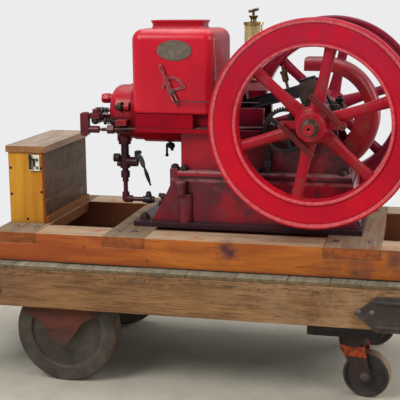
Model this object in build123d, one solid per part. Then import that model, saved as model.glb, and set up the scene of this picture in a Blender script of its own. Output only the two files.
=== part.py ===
from build123d import *
import os
from math import atan2, cos, degrees, hypot, radians, sin, sqrt

# Open-crank hit-and-miss engine on timber skids, carried by a four-wheeled factory cart.
# Millimetres. +Z is up, +X runs from the cylinder head to the crank, and -Y is the side
# with the speed lever. The origin is on the floor below the middle of the cart.

# Fits
running_gap = 0.3
shaft_gap = 0.2
seat_gap = 0.3
tunnel_gap = 1.5
wheel_side_gap = 7

# Cart
deck_length = 1524
deck_width = 762
deck_top = 408
board_thickness = 30
sill_bottom = 266
sill_thickness = 38
cross_beam_width = 90
iron_length = 182
iron_height = 112
iron_thickness = 6

# Fixed cart wheels
big_wheel_radius = 172
big_wheel_width = 76
big_wheel_rim = 42
big_wheel_x = -376
big_axle_radius = 16
bracket_thickness = 10
bracket_width = 260
bracket_shift = -10
bearer_width = 46

# Swivel casters
caster_radius = 76
caster_width = 50
caster_pivot_x = 570
caster_trail = 47
caster_inset = 140
caster_turns = (-8, 6)
caster_axle_radius = 8
caster_side_gap = 5
fork_leg = 8
fork_crown = 14
swivel_radius = 46
king_pin_radius = 10
plate_length = 236
plate_shift = -25
plate_width = 130
plate_height = 55
plate_thickness = 6

# Skid
timber_height = 98
timber_width = 128
timber_inset = 51
timber_length = 1500
plank_thickness = 36
engine_plank_left = (-242, -99)
engine_plank_right = (475, 650)
box_plank = (-748, -473)

# Engine foundation
base_top = 677
base_left = -183
base_right = 585
base_flange = 18
base_foot_inset = 58
base_half_width = 165
base_wall_half = 145
base_top_left = -59
base_top_right = 552
base_wall = 14
bed_left = -26
bed_right = 548
bed_half_width = 118
bed_wall = 14
bed_flange = 22
bed_flange_half = 150
ledge_top = 838
ledge_thickness = 12
ledge_half = 155

# Cylinder, hopper and head
axis_z = 880
bore_radius = 70
barrel_radius = 105
barrel_end_radius = 99
head_joint_x = -211
crank_end_x = 249
jacket_half = 146
jacket_left = -175
push_lug_right = 21
hopper_left = -190
hopper_right = 95
hopper_half = 150
hopper_bottom = 886
hopper_top = 1165
hopper_wall = 10
hopper_round = 38
hopper_foot_round = 12
neck_left = -141
neck_right = 36
neck_half_y = 57
neck_wall = 9
neck_flare = 6
neck_lip = 18
neck_round = 24
neck_top = 1192
head_depth = 82
head_flange = 18
head_flange_radius = 96
head_radius = 92
head_round = 36
plug_radius = 15
plug_y = -20
plug_z = 925
plug_reach = 38

# Crank train
crank_x = 434
crank_throw = 96
crank_angle = 117
shaft_radius = 24
pin_radius = 22
rod_length = 330
web_inner = 30
web_thickness = 30
web_half_width = 36
web_tip = 30
web_tail = 46
bearing_inner = 72
bearing_outer = 145
bearing_half = 52
bearing_block_depth = 60
shaft_end = 425
stub_radius = 20
stub_centre_radius = 7

# Flywheels
wheel_radius = 323
rim_inner = 236
rim_half_width = 33
wheel_centre_y = 288
hub_radius = 44
hub_outer = 372
hub_inner = 196
spoke_count = 6
spoke_phase = 18
spoke_waist = 130

# Half-time gears
gear_module = 3
pinion_teeth = 24
gear_teeth = 48
gear_angle = 199
gear_face = 168
gear_width = 22
tooth_share = 0.42

# Governor weights
weight_pivot = 92
weight_width = 20
weight_eye_radius = 11
weight_pin_radius = 6
weight_thickness = 20

# Exhaust push rod and rocker
push_y = -131
push_left_z = 829
push_right_z = 846
push_radius = 6
push_travel = 8
push_gap = 0.8
push_nut_radius = 16
push_nut_start = 25
push_nut_length = 23
rocker_x = -327
rocker_arm = 29
rocker_face = 23
rocker_left = 45
rocker_thickness = 27
rocker_half = 13
rocker_above = 29
rocker_below = 51
rocker_shaft_radius = 8
valve_y = -68
valve_radius = 5
valve_face = 6
cam_radius = 26
cam_lift = 9
cam_width = 18
roller_radius = 13

# Speed lever
lever_x = -48
lever_z = 962
lever_angle = 113
tail_angle = -65
lever_up = 98
lever_drop = 31
link_radius = 2
link_pin_radius = 3
link_end = 246

# Battery box
box_left = -621
box_right = -490
box_near = -188
box_far = 234
box_height = 246
box_wall = 14
lid_thickness = 22
lid_overhang = 6

# Places worked out from the sizes
skid_top = deck_top + timber_height
timber_outer = deck_width / 2 - timber_inset
big_wheel_face = deck_width / 2 - sill_thickness - wheel_side_gap
caster_y = deck_width / 2 - caster_inset
bearing_split = axis_z
gear_pitch_radius = gear_module * gear_teeth / 2
pinion_pitch_radius = gear_module * pinion_teeth / 2
gear_distance = gear_pitch_radius + pinion_pitch_radius + 0.3
gear_x = crank_x + gear_distance * cos(radians(gear_angle))
gear_z = axis_z + gear_distance * sin(radians(gear_angle))
pin_x = crank_x + crank_throw * cos(radians(crank_angle))
pin_z = axis_z + crank_throw * sin(radians(crank_angle))
wrist_x = pin_x - sqrt(rod_length ** 2 - (pin_z - axis_z) ** 2)

iron_middle = 317
iron_point = 66
iron_rib_radius = 7
iron_rib_edge = 17
bearer_outer = big_wheel_face - big_wheel_width - wheel_side_gap
wheel_beam_offset = big_wheel_radius + cross_beam_width / 2 + 15
fork_crown_gap = 10
swivel_split = 200
swivel_gap = 1
filler_x = -16
filler_radius = 19
filler_bottom = 622
filler_pad_radius = 28
filler_pad_shift = 11
filler_pad_depth = 10
base_boss = 36
base_boss_height = 30
gear_stud_radius = 11
gear_hub_radius = 20
gear_openings = 5
gear_spoke_half = 6
mixer_x = -260
mixer_boss_radius = 26
mixer_boss_drop = 13
mixer_body_z = 700
mixer_top = axis_z - head_radius - mixer_boss_drop
mixer_pipe_radius = 8
horn_radius = 17
horn_mouth = -214
exhaust_boss_radius = 30
exhaust_reach = 118
rocker_z = push_left_z + rocker_arm
valve_z = rocker_z + rocker_arm
rocker_hub_radius = 14
rocker_screw_radius = 12
rocker_bracket = (32, 52)
push_start = rocker_x + rocker_face + push_gap
push_end = gear_x - cam_radius - cam_lift - roller_radius - 1
push_slope = degrees(atan2(push_right_z - push_left_z, push_end - push_start))
push_length = hypot(push_right_z - push_left_z, push_end - push_start)
piston_crown = 80
piston_skirt = 60
wrist_radius = 15
rod_width = 28
rod_small = 34
rod_large = 42
big_end_half_x = 24
big_end_half_y = 28
big_end_half_z = 38
rod_tilt = degrees(atan2(pin_z - axis_z, pin_x - wrist_x))
oil_cup_back = 72
guard_radius = 190
guard_sheet = 6
guard_bend = 30
guard_wall = 42
guard_deep_wall = 81
guard_deep_start = 5
guard_start = -50
guard_run = 57
guard_half = 72
guard_pad_half = 40
oiler_x = 198
oiler_boss_radius = 15
oiler_boss_height = 6
oiler_radius = 33
oiler_rim = 3
oiler_glass_bottom = 1085
oiler_glass_top = 1175
oiler_top = 1233
oiler_handle = 34
oiler_handle_tilt = 14
weight_free_z = 87
weight_length = sqrt(weight_pivot ** 2 + weight_free_z ** 2)
weight_angle = degrees(atan2(weight_free_z, -weight_pivot))
quadrant_radius = 49
quadrant_band = 8
quadrant_plate = 5
quadrant_start = 18
quadrant_end = 112
lever_plate = 6
lever_pin_radius = 5
tail_slot_start = lever_drop - 18
tail_slot_end = lever_drop + 8
flap_radius = 24
flap_lug_half = 6
flap_ear_half = 12
flap_ear = 7
flap_pin_radius = 4
flap_hinge_z = mixer_body_z + flap_radius + 8
flap_hinge_x = horn_mouth + flap_pin_radius + 1
flap_open = 19
flap_half = 1.5
flap_pin_gap = 0.6
fuel_z = 566
cock_left = -196
cock_length = 40
drain_x = -93
switch_left = -541
switch_bottom = 690
switch_width = 36
switch_height = 54
switch_depth = 7
hinge_radius = 4
hinge_leaf = 3
hinge_length = 30
hinge_spread = 120
pump_x = 272
pump_y = -136
plate_x = -38
plate_z = 1096
plate_half_length = 59
plate_half_height = 33


def block(x0, x1, y0, y1, z0, z1):
    """A plain block between two corners."""
    return Pos((x0 + x1) / 2, (y0 + y1) / 2, (z0 + z1) / 2) * Box(x1 - x0, y1 - y0, z1 - z0)


def bar_x(radius, x0, x1, y, z):
    """A round bar along X."""
    return Pos((x0 + x1) / 2, y, z) * Rot(0, 90, 0) * Cylinder(radius, x1 - x0)


def bar_y(radius, x, y0, y1, z):
    """A round bar along Y."""
    return Pos(x, (y0 + y1) / 2, z) * Rot(90, 0, 0) * Cylinder(radius, y1 - y0)


def bar_z(radius, x, y, z0, z1):
    """A round bar along Z."""
    return Pos(x, y, (z0 + z1) / 2) * Cylinder(radius, z1 - z0)


def side_slab(points, y0, y1):
    """A slab with an outline in X and Z, between two Y planes."""
    outline = make_face(Polyline(*points, close=True))
    return extrude(Plane.XZ.offset(-y1) * outline, y1 - y0)


def turned_y(points, x=0, z=0):
    """A body turned about a line along Y; each point is a radius and a Y."""
    outline = make_face(Polyline(*points, close=True))
    return Pos(x, 0, z) * revolve(outline, Axis.Y)


def turned_x(points, y=0, z=0):
    """A body turned about a line along X; each point is an X and a radius."""
    outline = make_face(Polyline(*points, close=True))
    return Pos(0, y, z) * revolve(outline, Axis.X)


def turned_z(points, x=0, y=0):
    """A body turned about a line along Z; each point is a radius and a Z."""
    outline = make_face(Polyline(*[(radius, z) for radius, z in points], close=True))
    return Pos(x, y, 0) * revolve(Plane.XZ * outline, Axis.Z)


def mirrored(shape):
    """The same piece on the far side of the engine's middle plane."""
    return mirror(shape, Plane.XZ)


def along_push_rod(shape):
    """Lay a shape drawn along X on the push rod's sloping line."""
    return Pos(push_start, push_y, push_left_z) * Rot(0, -push_slope, 0) * shape


def hinge_places():
    """Where the two lid hinges sit along the box."""
    middle = (box_near + box_far) / 2
    return (middle - hinge_spread, middle + hinge_spread)


def save(name, *shapes):
    """Write one sub-part."""
    solids = [solid for shape in shapes for solid in shape.solids()]
    piece = Compound(children=solids) if len(solids) > 1 else solids[0]
    piece.label = name
    export_step(piece, f"parts/{name}.step")


def cart_deck():
    """The boarded top of the cart."""
    half_length = deck_length / 2
    half_width = deck_width / 2
    return block(-half_length, half_length, -half_width, half_width, deck_top - board_thickness, deck_top)


def cart_frame():
    """Side sills, end beams, cross beams and the bearers inside the fixed wheels."""
    half_length = deck_length / 2
    outer = deck_width / 2
    inner = outer - sill_thickness
    top = deck_top - board_thickness
    frame = block(-half_length, half_length, -outer, -inner, sill_bottom, top)
    frame += block(-half_length, half_length, inner, outer, sill_bottom, top)
    cross_beams = (
        -half_length + cross_beam_width / 2,
        big_wheel_x - wheel_beam_offset,
        big_wheel_x + wheel_beam_offset,
        caster_pivot_x,
        half_length - cross_beam_width / 2,
    )
    for x in cross_beams:
        frame += block(x - cross_beam_width / 2, x + cross_beam_width / 2, -inner, inner, sill_bottom, top)
    for side in (-1, 1):
        near, far = sorted((side * bearer_outer, side * (bearer_outer - bearer_width)))
        frame += block(big_wheel_x - wheel_beam_offset, big_wheel_x + wheel_beam_offset,
                       near, far, sill_bottom, top)
    return frame


def corner_iron():
    """One pressed iron round a corner of the cart, pointed towards the middle, with two ribs."""
    end = deck_length / 2
    face = -deck_width / 2
    middle = iron_middle
    half = iron_height / 2
    outline = [
        (end - iron_length, middle),
        (end - iron_length + iron_point, middle + half),
        (end + iron_thickness, middle + half),
        (end + iron_thickness, middle - half),
        (end - iron_length + iron_point, middle - half),
    ]
    iron = side_slab(outline, face - iron_thickness, face)
    iron += block(end, end + iron_thickness, face, face + iron_length / 2, middle - half, middle + half)
    for z in (middle - half + iron_rib_edge, middle + half - iron_rib_edge):
        start = end - iron_length + iron_point
        rib = bar_x(iron_rib_radius, start, end, face - iron_thickness, z)
        rib += Pos(start, face - iron_thickness, z) * Sphere(iron_rib_radius)
        iron += rib & block(start - iron_rib_radius, end, face - iron_thickness - iron_rib_radius, face,
                            middle - half, middle + half)
    return iron


def wheel_brackets():
    """V-shaped plates each side of both fixed wheels, on one axle."""
    z = big_wheel_radius
    top = sill_bottom
    half = bracket_width / 2
    tip = big_axle_radius + 29
    middle = big_wheel_x + bracket_shift
    right_side = [
        (half * 0.12, z - tip + 3), (half * 0.34, z - 6), (half * 0.53, z + 32), (half * 0.65, z + 46),
        (half * 0.96, top - 30), (half, top - 24), (half, top),
    ]
    outline = [(middle - out, height) for out, height in reversed(right_side)]
    outline += [(middle, z - tip)] + [(middle + out, height) for out, height in right_side]
    outer = -deck_width / 2 + sill_thickness
    reach = outer - bracket_thickness
    brackets = bar_y(big_axle_radius, big_wheel_x, reach, -reach, z)
    for y0 in (reach, -bearer_outer):
        plate = side_slab(outline, y0, y0 + bracket_thickness)
        brackets += plate
        brackets += mirrored(plate)
    return brackets


def big_wheel():
    """A dished cast wheel with a broad rim, a raised ring and a long hub, near side."""
    y0 = -big_wheel_face
    y1 = y0 + big_wheel_width
    r = big_wheel_radius
    rim = r - big_wheel_rim
    bore = big_axle_radius + running_gap
    hub = big_axle_radius + 20
    profile = [
        (bore, y0 + 2), (hub, y0 + 2), (hub, y0 + 18), (rim - 10, y0 + 15), (rim - 6, y0 + 4),
        (rim, y0 + 2), (r - 4, y0), (r, y0 + 5), (r, y1 - 5), (r - 4, y1), (rim, y1 - 2),
        (rim - 6, y1 - 4), (rim - 10, y1 - 15), (hub, y1 - 18), (hub, y1 - 2), (bore, y1 - 2),
    ]
    return turned_y(profile, big_wheel_x, r)


def caster_plate(side):
    """A channel bolted under the sill with the fixed half of the swivel, side -1 near."""
    x0 = caster_pivot_x + plate_shift - plate_length / 2
    x1 = x0 + plate_length
    y0 = side * caster_y - plate_width / 2
    y1 = side * caster_y + plate_width / 2
    z0 = sill_bottom - plate_height
    plate = block(x0, x1, y0, y1, z0, sill_bottom)
    plate -= block(x0, x1, y0 + plate_thickness, y1 - plate_thickness, z0 + plate_thickness, sill_bottom)
    plate += bar_z(swivel_radius + 8, caster_pivot_x, side * caster_y, swivel_split + swivel_gap, z0)
    plate += block(caster_pivot_x - swivel_radius, caster_pivot_x + swivel_radius,
                   y0 + plate_thickness, y1 - plate_thickness, z0 + plate_thickness, sill_bottom)
    return plate - bar_z(king_pin_radius + running_gap, caster_pivot_x, side * caster_y,
                         swivel_split, sill_bottom)


def caster_fork(side, turn):
    """The swivelling half of a caster, with its king pin, two legs and the axle."""
    inner = caster_width / 2 + caster_side_gap
    outer = inner + fork_leg
    crown_bottom = 2 * caster_radius + fork_crown_gap
    crown_top = crown_bottom + fork_crown
    leg = [
        (-swivel_radius * 0.75, crown_top),
        (-swivel_radius * 0.75, crown_bottom),
        (caster_trail - 22, caster_radius - 8),
        (caster_trail - 12, caster_radius - 20),
        (caster_trail + 12, caster_radius - 20),
        (caster_trail + 22, caster_radius - 6),
        (swivel_radius * 0.9, crown_top),
    ]
    fork = side_slab(leg, -outer, -inner) + side_slab(leg, inner, outer)
    fork += block(-swivel_radius * 0.75, swivel_radius * 0.8, -outer, outer, crown_bottom, crown_top)
    fork += bar_z(swivel_radius, 0, 0, crown_top - 2, swivel_split)
    fork += bar_z(king_pin_radius, 0, 0, swivel_split - 2, sill_bottom - 4)
    fork += bar_y(caster_axle_radius, caster_trail, -outer - 6, outer + 6, caster_radius)
    return Pos(caster_pivot_x, side * caster_y, 0) * Rot(0, 0, turn) * fork


def caster_wheel(side, turn):
    """A small wheel with a domed tread, on the fork's axle."""
    half = caster_width / 2
    r = caster_radius
    bore = caster_axle_radius + running_gap
    hub = caster_axle_radius + 16
    profile = [
        (bore, -half), (hub, -half), (hub, -half + 8), (r - 13, -half + 8), (r - 13, -half + 2),
        (r - 4, -half + 2), (r, -half + 8), (r, half - 8), (r - 4, half - 2), (r - 13, half - 2),
        (r - 13, half - 8), (hub, half - 8), (hub, half), (bore, half),
    ]
    wheel = turned_y(profile, caster_trail, r)
    return Pos(caster_pivot_x, side * caster_y, 0) * Rot(0, 0, turn) * wheel


def skid_planks():
    """Three planks let flush into the tops of the skid timbers."""
    return [block(x0, x1, -timber_outer, timber_outer, skid_top - plank_thickness, skid_top)
            for x0, x1 in (box_plank, engine_plank_left, engine_plank_right)]


def skid_timber():
    """The near skid timber, notched for the planks."""
    half = timber_length / 2
    timber = block(-half, half, -timber_outer, -timber_outer + timber_width, deck_top, skid_top)
    for plank in skid_planks():
        timber -= plank
    return timber


def sub_base():
    """The cast tank under the engine: foot flange, flared ends, top plate and filler pilaster."""
    foot = skid_top + base_flange
    foot_left = base_left + base_foot_inset
    foot_right = base_right - 12
    under = Polyline((foot_right, foot), (foot_right, skid_top), (foot_left, skid_top), (foot_left, foot))
    left_flare = ThreePointArc((foot_left, foot), (foot_left + 30, foot + 52),
                               (base_top_left, base_top - 30))
    crown = Polyline((base_top_left, base_top - 30), (base_top_left, base_top),
                     (base_top_right, base_top), (base_top_right, base_top - 60))
    right_flare = ThreePointArc((base_top_right, base_top - 60), (base_top_right + 6, foot + 28),
                                (foot_right, foot))
    outline = make_face(under + left_flare + crown + right_flare)
    tank = extrude(Plane.XZ.offset(-base_wall_half) * outline, 2 * base_wall_half)
    tank += block(base_left, base_right, -base_half_width, base_half_width, skid_top, foot)
    tank += bar_z(filler_pad_radius, filler_x + filler_pad_shift, -base_wall_half + filler_pad_depth,
                  foot, filler_bottom)
    for side in (-1, 1):
        boss_y = side * (base_wall_half - base_boss / 2)
        boss = block(base_top_left, bed_left - seat_gap - 5, boss_y - base_boss / 2, boss_y + base_boss / 2,
                     base_top - 40, base_top + base_boss_height)
        tank += fillet(boss.faces().sort_by(Axis.Z)[-1].edges(), base_boss / 6)
    tank -= block(base_top_left + base_wall, base_top_right - base_wall, -base_wall_half + base_wall,
                  base_wall_half - base_wall, skid_top, base_top - base_wall)
    return tank


def fuel_filler():
    """The round filler cup with its cap, on the near wall of the tank."""
    y = -base_wall_half - filler_radius - seat_gap
    cup = bar_z(filler_radius - 3, filler_x, y, filler_bottom, filler_bottom + 30)
    cup += bar_z(filler_radius, filler_x, y, filler_bottom + 26, filler_bottom + 46)
    return cup


def engine_bed():
    """The open frame casting: column under the cylinder, side walls and main bearing seats."""
    top = ledge_top - ledge_thickness
    flange_top = base_top + bed_flange
    bearing_left = crank_x - bearing_half
    bearing_right = crank_x + bearing_half
    end_face = bed_right - bed_wall
    outline = [
        (bed_left, base_top), (bed_left, top), (gear_x - 34, top), (gear_x - 24, gear_z + 22),
        (gear_x + 24, gear_z + 22), (bearing_left, bearing_split), (bearing_right, bearing_split),
        (bearing_right + 12, bearing_split - bearing_block_depth), (end_face, base_top + 70),
        (end_face, base_top),
    ]
    bed = side_slab(outline, -bed_half_width, bed_half_width)
    inner = bed_half_width - bed_wall
    bed -= block(bed_left + bed_wall, end_face - bed_wall, -inner, inner, flange_top, bearing_split + 1)
    bed += block(bed_left + bed_wall, crank_end_x, -inner, inner, top - 16, top)
    flange = block(bed_left - 5, bed_right, -bed_flange_half, bed_flange_half, base_top, flange_top)
    bed += fillet(flange.edges().group_by(Axis.Z)[-1], bed_flange / 4)
    for side in (-1, 1):
        near, far = sorted((side * bearing_inner, side * bearing_outer))
        bed += block(bearing_left, bearing_right, near, far,
                     bearing_split - bearing_block_depth, bearing_split)
    bed -= bar_x(barrel_radius + seat_gap, bed_left - 1, crank_end_x + 30, 0, axis_z)
    bed -= bar_y(shaft_radius + shaft_gap, crank_x, -bearing_outer - 1, bearing_outer + 1, axis_z)
    bed += bar_y(gear_stud_radius, gear_x, -gear_face - 8, -bed_half_width + 2, gear_z)
    pad = block(end_face - 2, bed_right + 8, -guard_pad_half, guard_pad_half, flange_top - 6, base_top + 84)
    return bed + (pad & bar_y(guard_radius - guard_sheet - seat_gap, crank_x, -guard_pad_half,
                              guard_pad_half, axis_z))


def bearing_cap():
    """One main bearing cap with a rounded crown and a grease boss, near side."""
    r = 2 * shaft_radius
    ear = 22
    boss = 9
    cap = bar_y(r, crank_x, -bearing_outer, -bearing_inner, axis_z)
    cap += block(crank_x - bearing_half, crank_x + bearing_half, -bearing_outer, -bearing_inner,
                 bearing_split, bearing_split + ear)
    cap += bar_z(boss, crank_x, -(bearing_inner + bearing_outer) / 2, axis_z + r - 4, axis_z + r + 14)
    cap &= block(crank_x - bearing_half, crank_x + bearing_half, -bearing_outer, -bearing_inner,
                 bearing_split + seat_gap, axis_z + 2 * r)
    return cap - bar_y(shaft_radius + shaft_gap, crank_x, -bearing_outer - 1, -bearing_inner + 1, axis_z)


def fuel_pump():
    """The small plunger pump that stands on the bed's flange below the half-time gear."""
    seat = base_top + bed_flange
    return turned_z([(0, seat), (9, seat), (9, seat + 16), (14, seat + 20), (14, seat + 42), (8, seat + 47),
                     (8, seat + 53), (12, seat + 57), (12, seat + 68), (5, seat + 72), (5, seat + 90),
                     (0, seat + 90)], pump_x, pump_y)


def cylinder():
    """Barrel with end flanges, flat jacket, ledge, bore and the tunnel for the push rod."""
    casting = bar_x(barrel_radius, jacket_left, crank_end_x, 0, axis_z)
    casting += bar_x(barrel_end_radius, head_joint_x, jacket_left, 0, axis_z)
    casting += block(jacket_left, push_lug_right, -jacket_half, jacket_half, ledge_top, hopper_bottom)
    casting += block(push_lug_right, hopper_right, -bed_half_width, jacket_half, ledge_top, hopper_bottom)
    casting += block(jacket_left - 2, crank_end_x, -ledge_half, ledge_half,
                     ledge_top - ledge_thickness, ledge_top)
    casting += bar_z(oiler_boss_radius, oiler_x, 0, axis_z, axis_z + barrel_radius + oiler_boss_height)
    casting -= bar_x(bore_radius, head_joint_x, crank_end_x, 0, axis_z)
    return casting - along_push_rod(bar_x(push_radius + tunnel_gap, 0, push_length, 0, 0))


def rounded_box(x0, x1, half_y, z0, z1, radius, foot_radius):
    """A box with its upright and upper edges rounded, and its lower edges a little."""
    box = block(x0, x1, -half_y, half_y, z0, z1)
    box = fillet(box.edges().filter_by(Axis.Z) + box.faces().sort_by(Axis.Z)[-1].edges(), radius)
    return fillet(box.faces().sort_by(Axis.Z)[0].edges(), foot_radius)


def neck_face(grow, z):
    """A rounded rectangle across the hopper's neck, grown all round."""
    middle = (neck_left + neck_right) / 2
    width = neck_right - neck_left + 2 * grow
    depth = 2 * neck_half_y + 2 * grow
    return Plane.XY.offset(z) * Pos(middle, 0) * RectangleRounded(width, depth, neck_round + grow)


def water_hopper():
    """The open cooling hopper with rounded edges and a flared neck."""
    hopper = rounded_box(hopper_left, hopper_right, hopper_half, hopper_bottom, hopper_top,
                         hopper_round, hopper_foot_round)
    waist = neck_top - neck_lip
    hopper += extrude(neck_face(0, hopper_top - hopper_wall), neck_top - hopper_top)
    hopper += loft([neck_face(neck_flare, hopper_top - 1), neck_face(0, hopper_top + 6)], ruled=True)
    hopper += loft([neck_face(0, waist), neck_face(neck_flare * 0.4, (waist + neck_top) / 2),
                    neck_face(neck_flare, neck_top - 4)])
    hopper += extrude(neck_face(neck_flare, neck_top - 4), 4)
    inside = rounded_box(hopper_left + hopper_wall, hopper_right - hopper_wall, hopper_half - hopper_wall,
                         hopper_bottom + hopper_wall, hopper_top - hopper_wall, hopper_round - hopper_wall,
                         hopper_foot_round / 2)
    hopper -= inside
    hopper -= extrude(neck_face(-neck_wall, hopper_top - 2 * hopper_wall),
                      neck_top - hopper_top + 3 * hopper_wall)
    return hopper - bar_x(barrel_radius + seat_gap, hopper_left - 1, hopper_right + 1, 0, axis_z)


def cylinder_head():
    """The round-shouldered head with its flange, mixer boss, exhaust port, plug boss and rocker lug."""
    joint = head_joint_x
    end = joint - head_depth
    shoulder = joint - head_flange
    slant = head_round * (1 - sqrt(0.5))
    low = head_radius - head_round
    side = Polyline((joint, 0), (joint, head_flange_radius), (shoulder, head_flange_radius),
                    (shoulder, head_radius), (end + head_round, head_radius))
    bend = ThreePointArc((end + head_round, head_radius), (end + slant, head_radius - slant), (end, low))
    face = Polyline((end, low), (end, 0), (joint, 0))
    head = Pos(0, 0, axis_z) * revolve(make_face(side + bend + face), Axis.X)
    head += bar_z(mixer_boss_radius, mixer_x, 0, mixer_top, axis_z)
    head += bar_y(exhaust_boss_radius, mixer_x, 0, exhaust_reach, axis_z)
    head -= bar_y(exhaust_boss_radius - 9, mixer_x, exhaust_reach - 30, exhaust_reach, axis_z)
    head += bar_x(plug_radius, end - plug_reach, end + head_round, plug_y, plug_z)
    far, near = rocker_bracket
    lug = rocker_hub_radius - 1
    head += block(rocker_x - lug, shoulder, -near, -far, rocker_z - lug, rocker_z + lug)
    head -= bar_y(rocker_shaft_radius + shaft_gap, rocker_x, -near - 1, -far, rocker_z)
    head += block(shoulder - 20, joint, push_y - 10, -head_radius + 12, rocker_z - 14, rocker_z + 4)
    return head - bar_x(valve_radius + shaft_gap, end - 1, shoulder, valve_y, valve_z)


def piston():
    """The trunk piston, short of its wrist pin's axis at the crank end."""
    r = bore_radius - seat_gap
    crown = 14
    skirt = 9
    body = bar_x(r, wrist_x - piston_crown, wrist_x + piston_skirt, 0, axis_z)
    body -= bar_x(r - skirt, wrist_x - piston_crown + crown, wrist_x + piston_skirt, 0, axis_z)
    return body + bar_y(wrist_radius, wrist_x, -r + 4, r - 4, axis_z)


def connecting_rod():
    """The I-section rod with its wrist eye and a split big end on the crank pin."""
    reach = rod_length
    half = rod_width / 2
    outline = [(0, -rod_small / 2), (reach, -rod_large / 2), (reach, rod_large / 2), (0, rod_small / 2)]
    rod = side_slab(outline, -half, half)
    web = [(30, -rod_small / 2 + 6), (reach - 50, -rod_large / 2 + 6),
           (reach - 50, rod_large / 2 - 6), (30, rod_small / 2 - 6)]
    rod -= side_slab(web, -half, -half + 8) + side_slab(web, half - 8, half)
    rod += bar_y(wrist_radius + 12, 0, -half, half, 0)
    rod += block(reach - big_end_half_x, reach + big_end_half_x, -big_end_half_y, big_end_half_y,
                 -big_end_half_z, big_end_half_z)
    rod -= bar_y(pin_radius + shaft_gap, reach, -big_end_half_y, big_end_half_y, 0)
    rod -= bar_y(wrist_radius + shaft_gap, 0, -half, half, 0)
    return Pos(wrist_x, 0, axis_z) * Rot(0, -rod_tilt, 0) * rod


def crank_pin():
    """The crank pin, held by the rod and turning past the webs."""
    return bar_y(pin_radius, pin_x, -web_inner, web_inner, pin_z)


def rod_oiler():
    """The small bronze oil cup on the rod beside the big end."""
    seat = rod_large / 2
    cup = turned_z([
        (0, seat), (5, seat), (5, seat + 20), (11, seat + 24), (11, seat + 50), (13, seat + 50),
        (13, seat + 58), (5, seat + 60), (5, seat + 76), (0, seat + 76),
    ], rod_length - oil_cup_back)
    return Pos(wrist_x, 0, axis_z) * Rot(0, -rod_tilt, 0) * cup


def crank_guard():
    """The fender over the crank: a channel with rounded corners, its plates deeper at the lower end."""
    def channel(depth):
        outer = Pos(guard_radius - depth / 2, 0) * Rectangle(depth, 2 * guard_half)
        outer = fillet(outer.vertices().group_by(Axis.X)[-1], guard_bend)
        deep = depth - guard_sheet + 1
        half = guard_half - guard_sheet
        hollow = Pos(guard_radius - guard_sheet - deep / 2, 0) * Rectangle(deep, 2 * half)
        hollow = fillet(hollow.vertices().group_by(Axis.X)[-1], guard_bend - guard_sheet)
        return outer - hollow

    def sweep_round(depth, start, end):
        arc = revolve(channel(depth), Axis.Y, end - start)
        return Pos(crank_x, 0, axis_z) * Rot(0, -end, 0) * arc

    run = extrude(Plane.YZ * Rot(0, 0, 90) * channel(guard_wall), guard_run)
    guard = Pos(crank_x - guard_run, 0, axis_z) * run
    guard += sweep_round(guard_wall, guard_start, 90)
    return guard + sweep_round(guard_deep_wall, guard_start, guard_deep_start)


def oiler_parts():
    """The brass sight-feed oiler on the cylinder and its glass."""
    x = oiler_x
    seat = axis_z + barrel_radius + oiler_boss_height
    low = oiler_glass_bottom
    high = oiler_glass_top
    brass = turned_z([
        (0, seat), (9, seat), (9, low - 8), (oiler_radius, low - 8), (oiler_radius, low), (4, low),
        (4, high), (oiler_radius, high), (oiler_radius, high + 9), (10, high + 11), (8, high + 18),
        (15, high + 30), (13, high + 31), (4, high + 22), (4, oiler_top - 8), (0, oiler_top - 8),
    ], x)
    handle = bar_x(4.5, -oiler_handle / 2, oiler_handle / 2, 0, 0)
    brass += Pos(x, 0, oiler_top - 9) * Rot(0, -oiler_handle_tilt, 0) * handle
    outer = oiler_radius - oiler_rim
    glass = bar_z(outer, x, 0, low, high) - bar_z(outer - 3, x, 0, low, high)
    return brass, glass


def flywheel():
    """The near flywheel: beaded and grooved rim, six oval spokes that flare at both ends, a long hub."""
    y = -wheel_centre_y
    w = rim_half_width
    r = wheel_radius
    i = rim_inner
    near_side = [
        (i, y - w + 5), (i + 4, y - w), (i + 11, y - w), (i + 15, y - w + 6), (i + 20, y - w + 3),
        (r - 20, y - w + 3), (r - 17, y - w + 6), (r - 14, y - w + 1), (r - 5, y - w), (r, y - w + 5),
    ]
    far_side = [(radius, 2 * y - across) for radius, across in reversed(near_side)]
    wheel = turned_y(near_side + far_side)
    hub = [
        (shaft_radius + shaft_gap, -hub_outer), (hub_radius - 3, -hub_outer), (hub_radius, -hub_outer + 3),
        (hub_radius + 4, y - 26), (hub_radius + 14, y - 14), (hub_radius + 14, y + 14),
        (hub_radius + 2, y + 30), (hub_radius, -hub_inner), (shaft_radius + shaft_gap, -hub_inner),
    ]
    wheel += turned_y(hub)
    sections = ((hub_radius, 18, 25), (spoke_waist, 14, 17.5), (rim_inner + 6, 16, 20))
    for index in range(spoke_count):
        ovals = [Plane.YZ.offset(out) * Pos(y, 0) * Ellipse(across, high) for out, across, high in sections]
        spoke = loft(ovals)
        wheel += Rot(0, -(spoke_phase + index * 360 / spoke_count), 0) * spoke
    return wheel


def governor_lugs():
    """Two lugs from the near flywheel's hub that carry the weights' pins."""
    y0 = -wheel_centre_y - 30
    lugs = []
    for side in (-1, 1):
        near, far = sorted((side * (hub_radius - 4), side * weight_pivot))
        lug = block(near, far, y0, y0 + 18, -weight_eye_radius, weight_eye_radius)
        lug += bar_y(weight_eye_radius + 1, side * weight_pivot, y0, y0 + 18, 0)
        lug += bar_y(weight_pin_radius, side * weight_pivot, y0 - weight_thickness - 6, y0 + 1, 0)
        lugs.append(lug)
    return lugs


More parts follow.
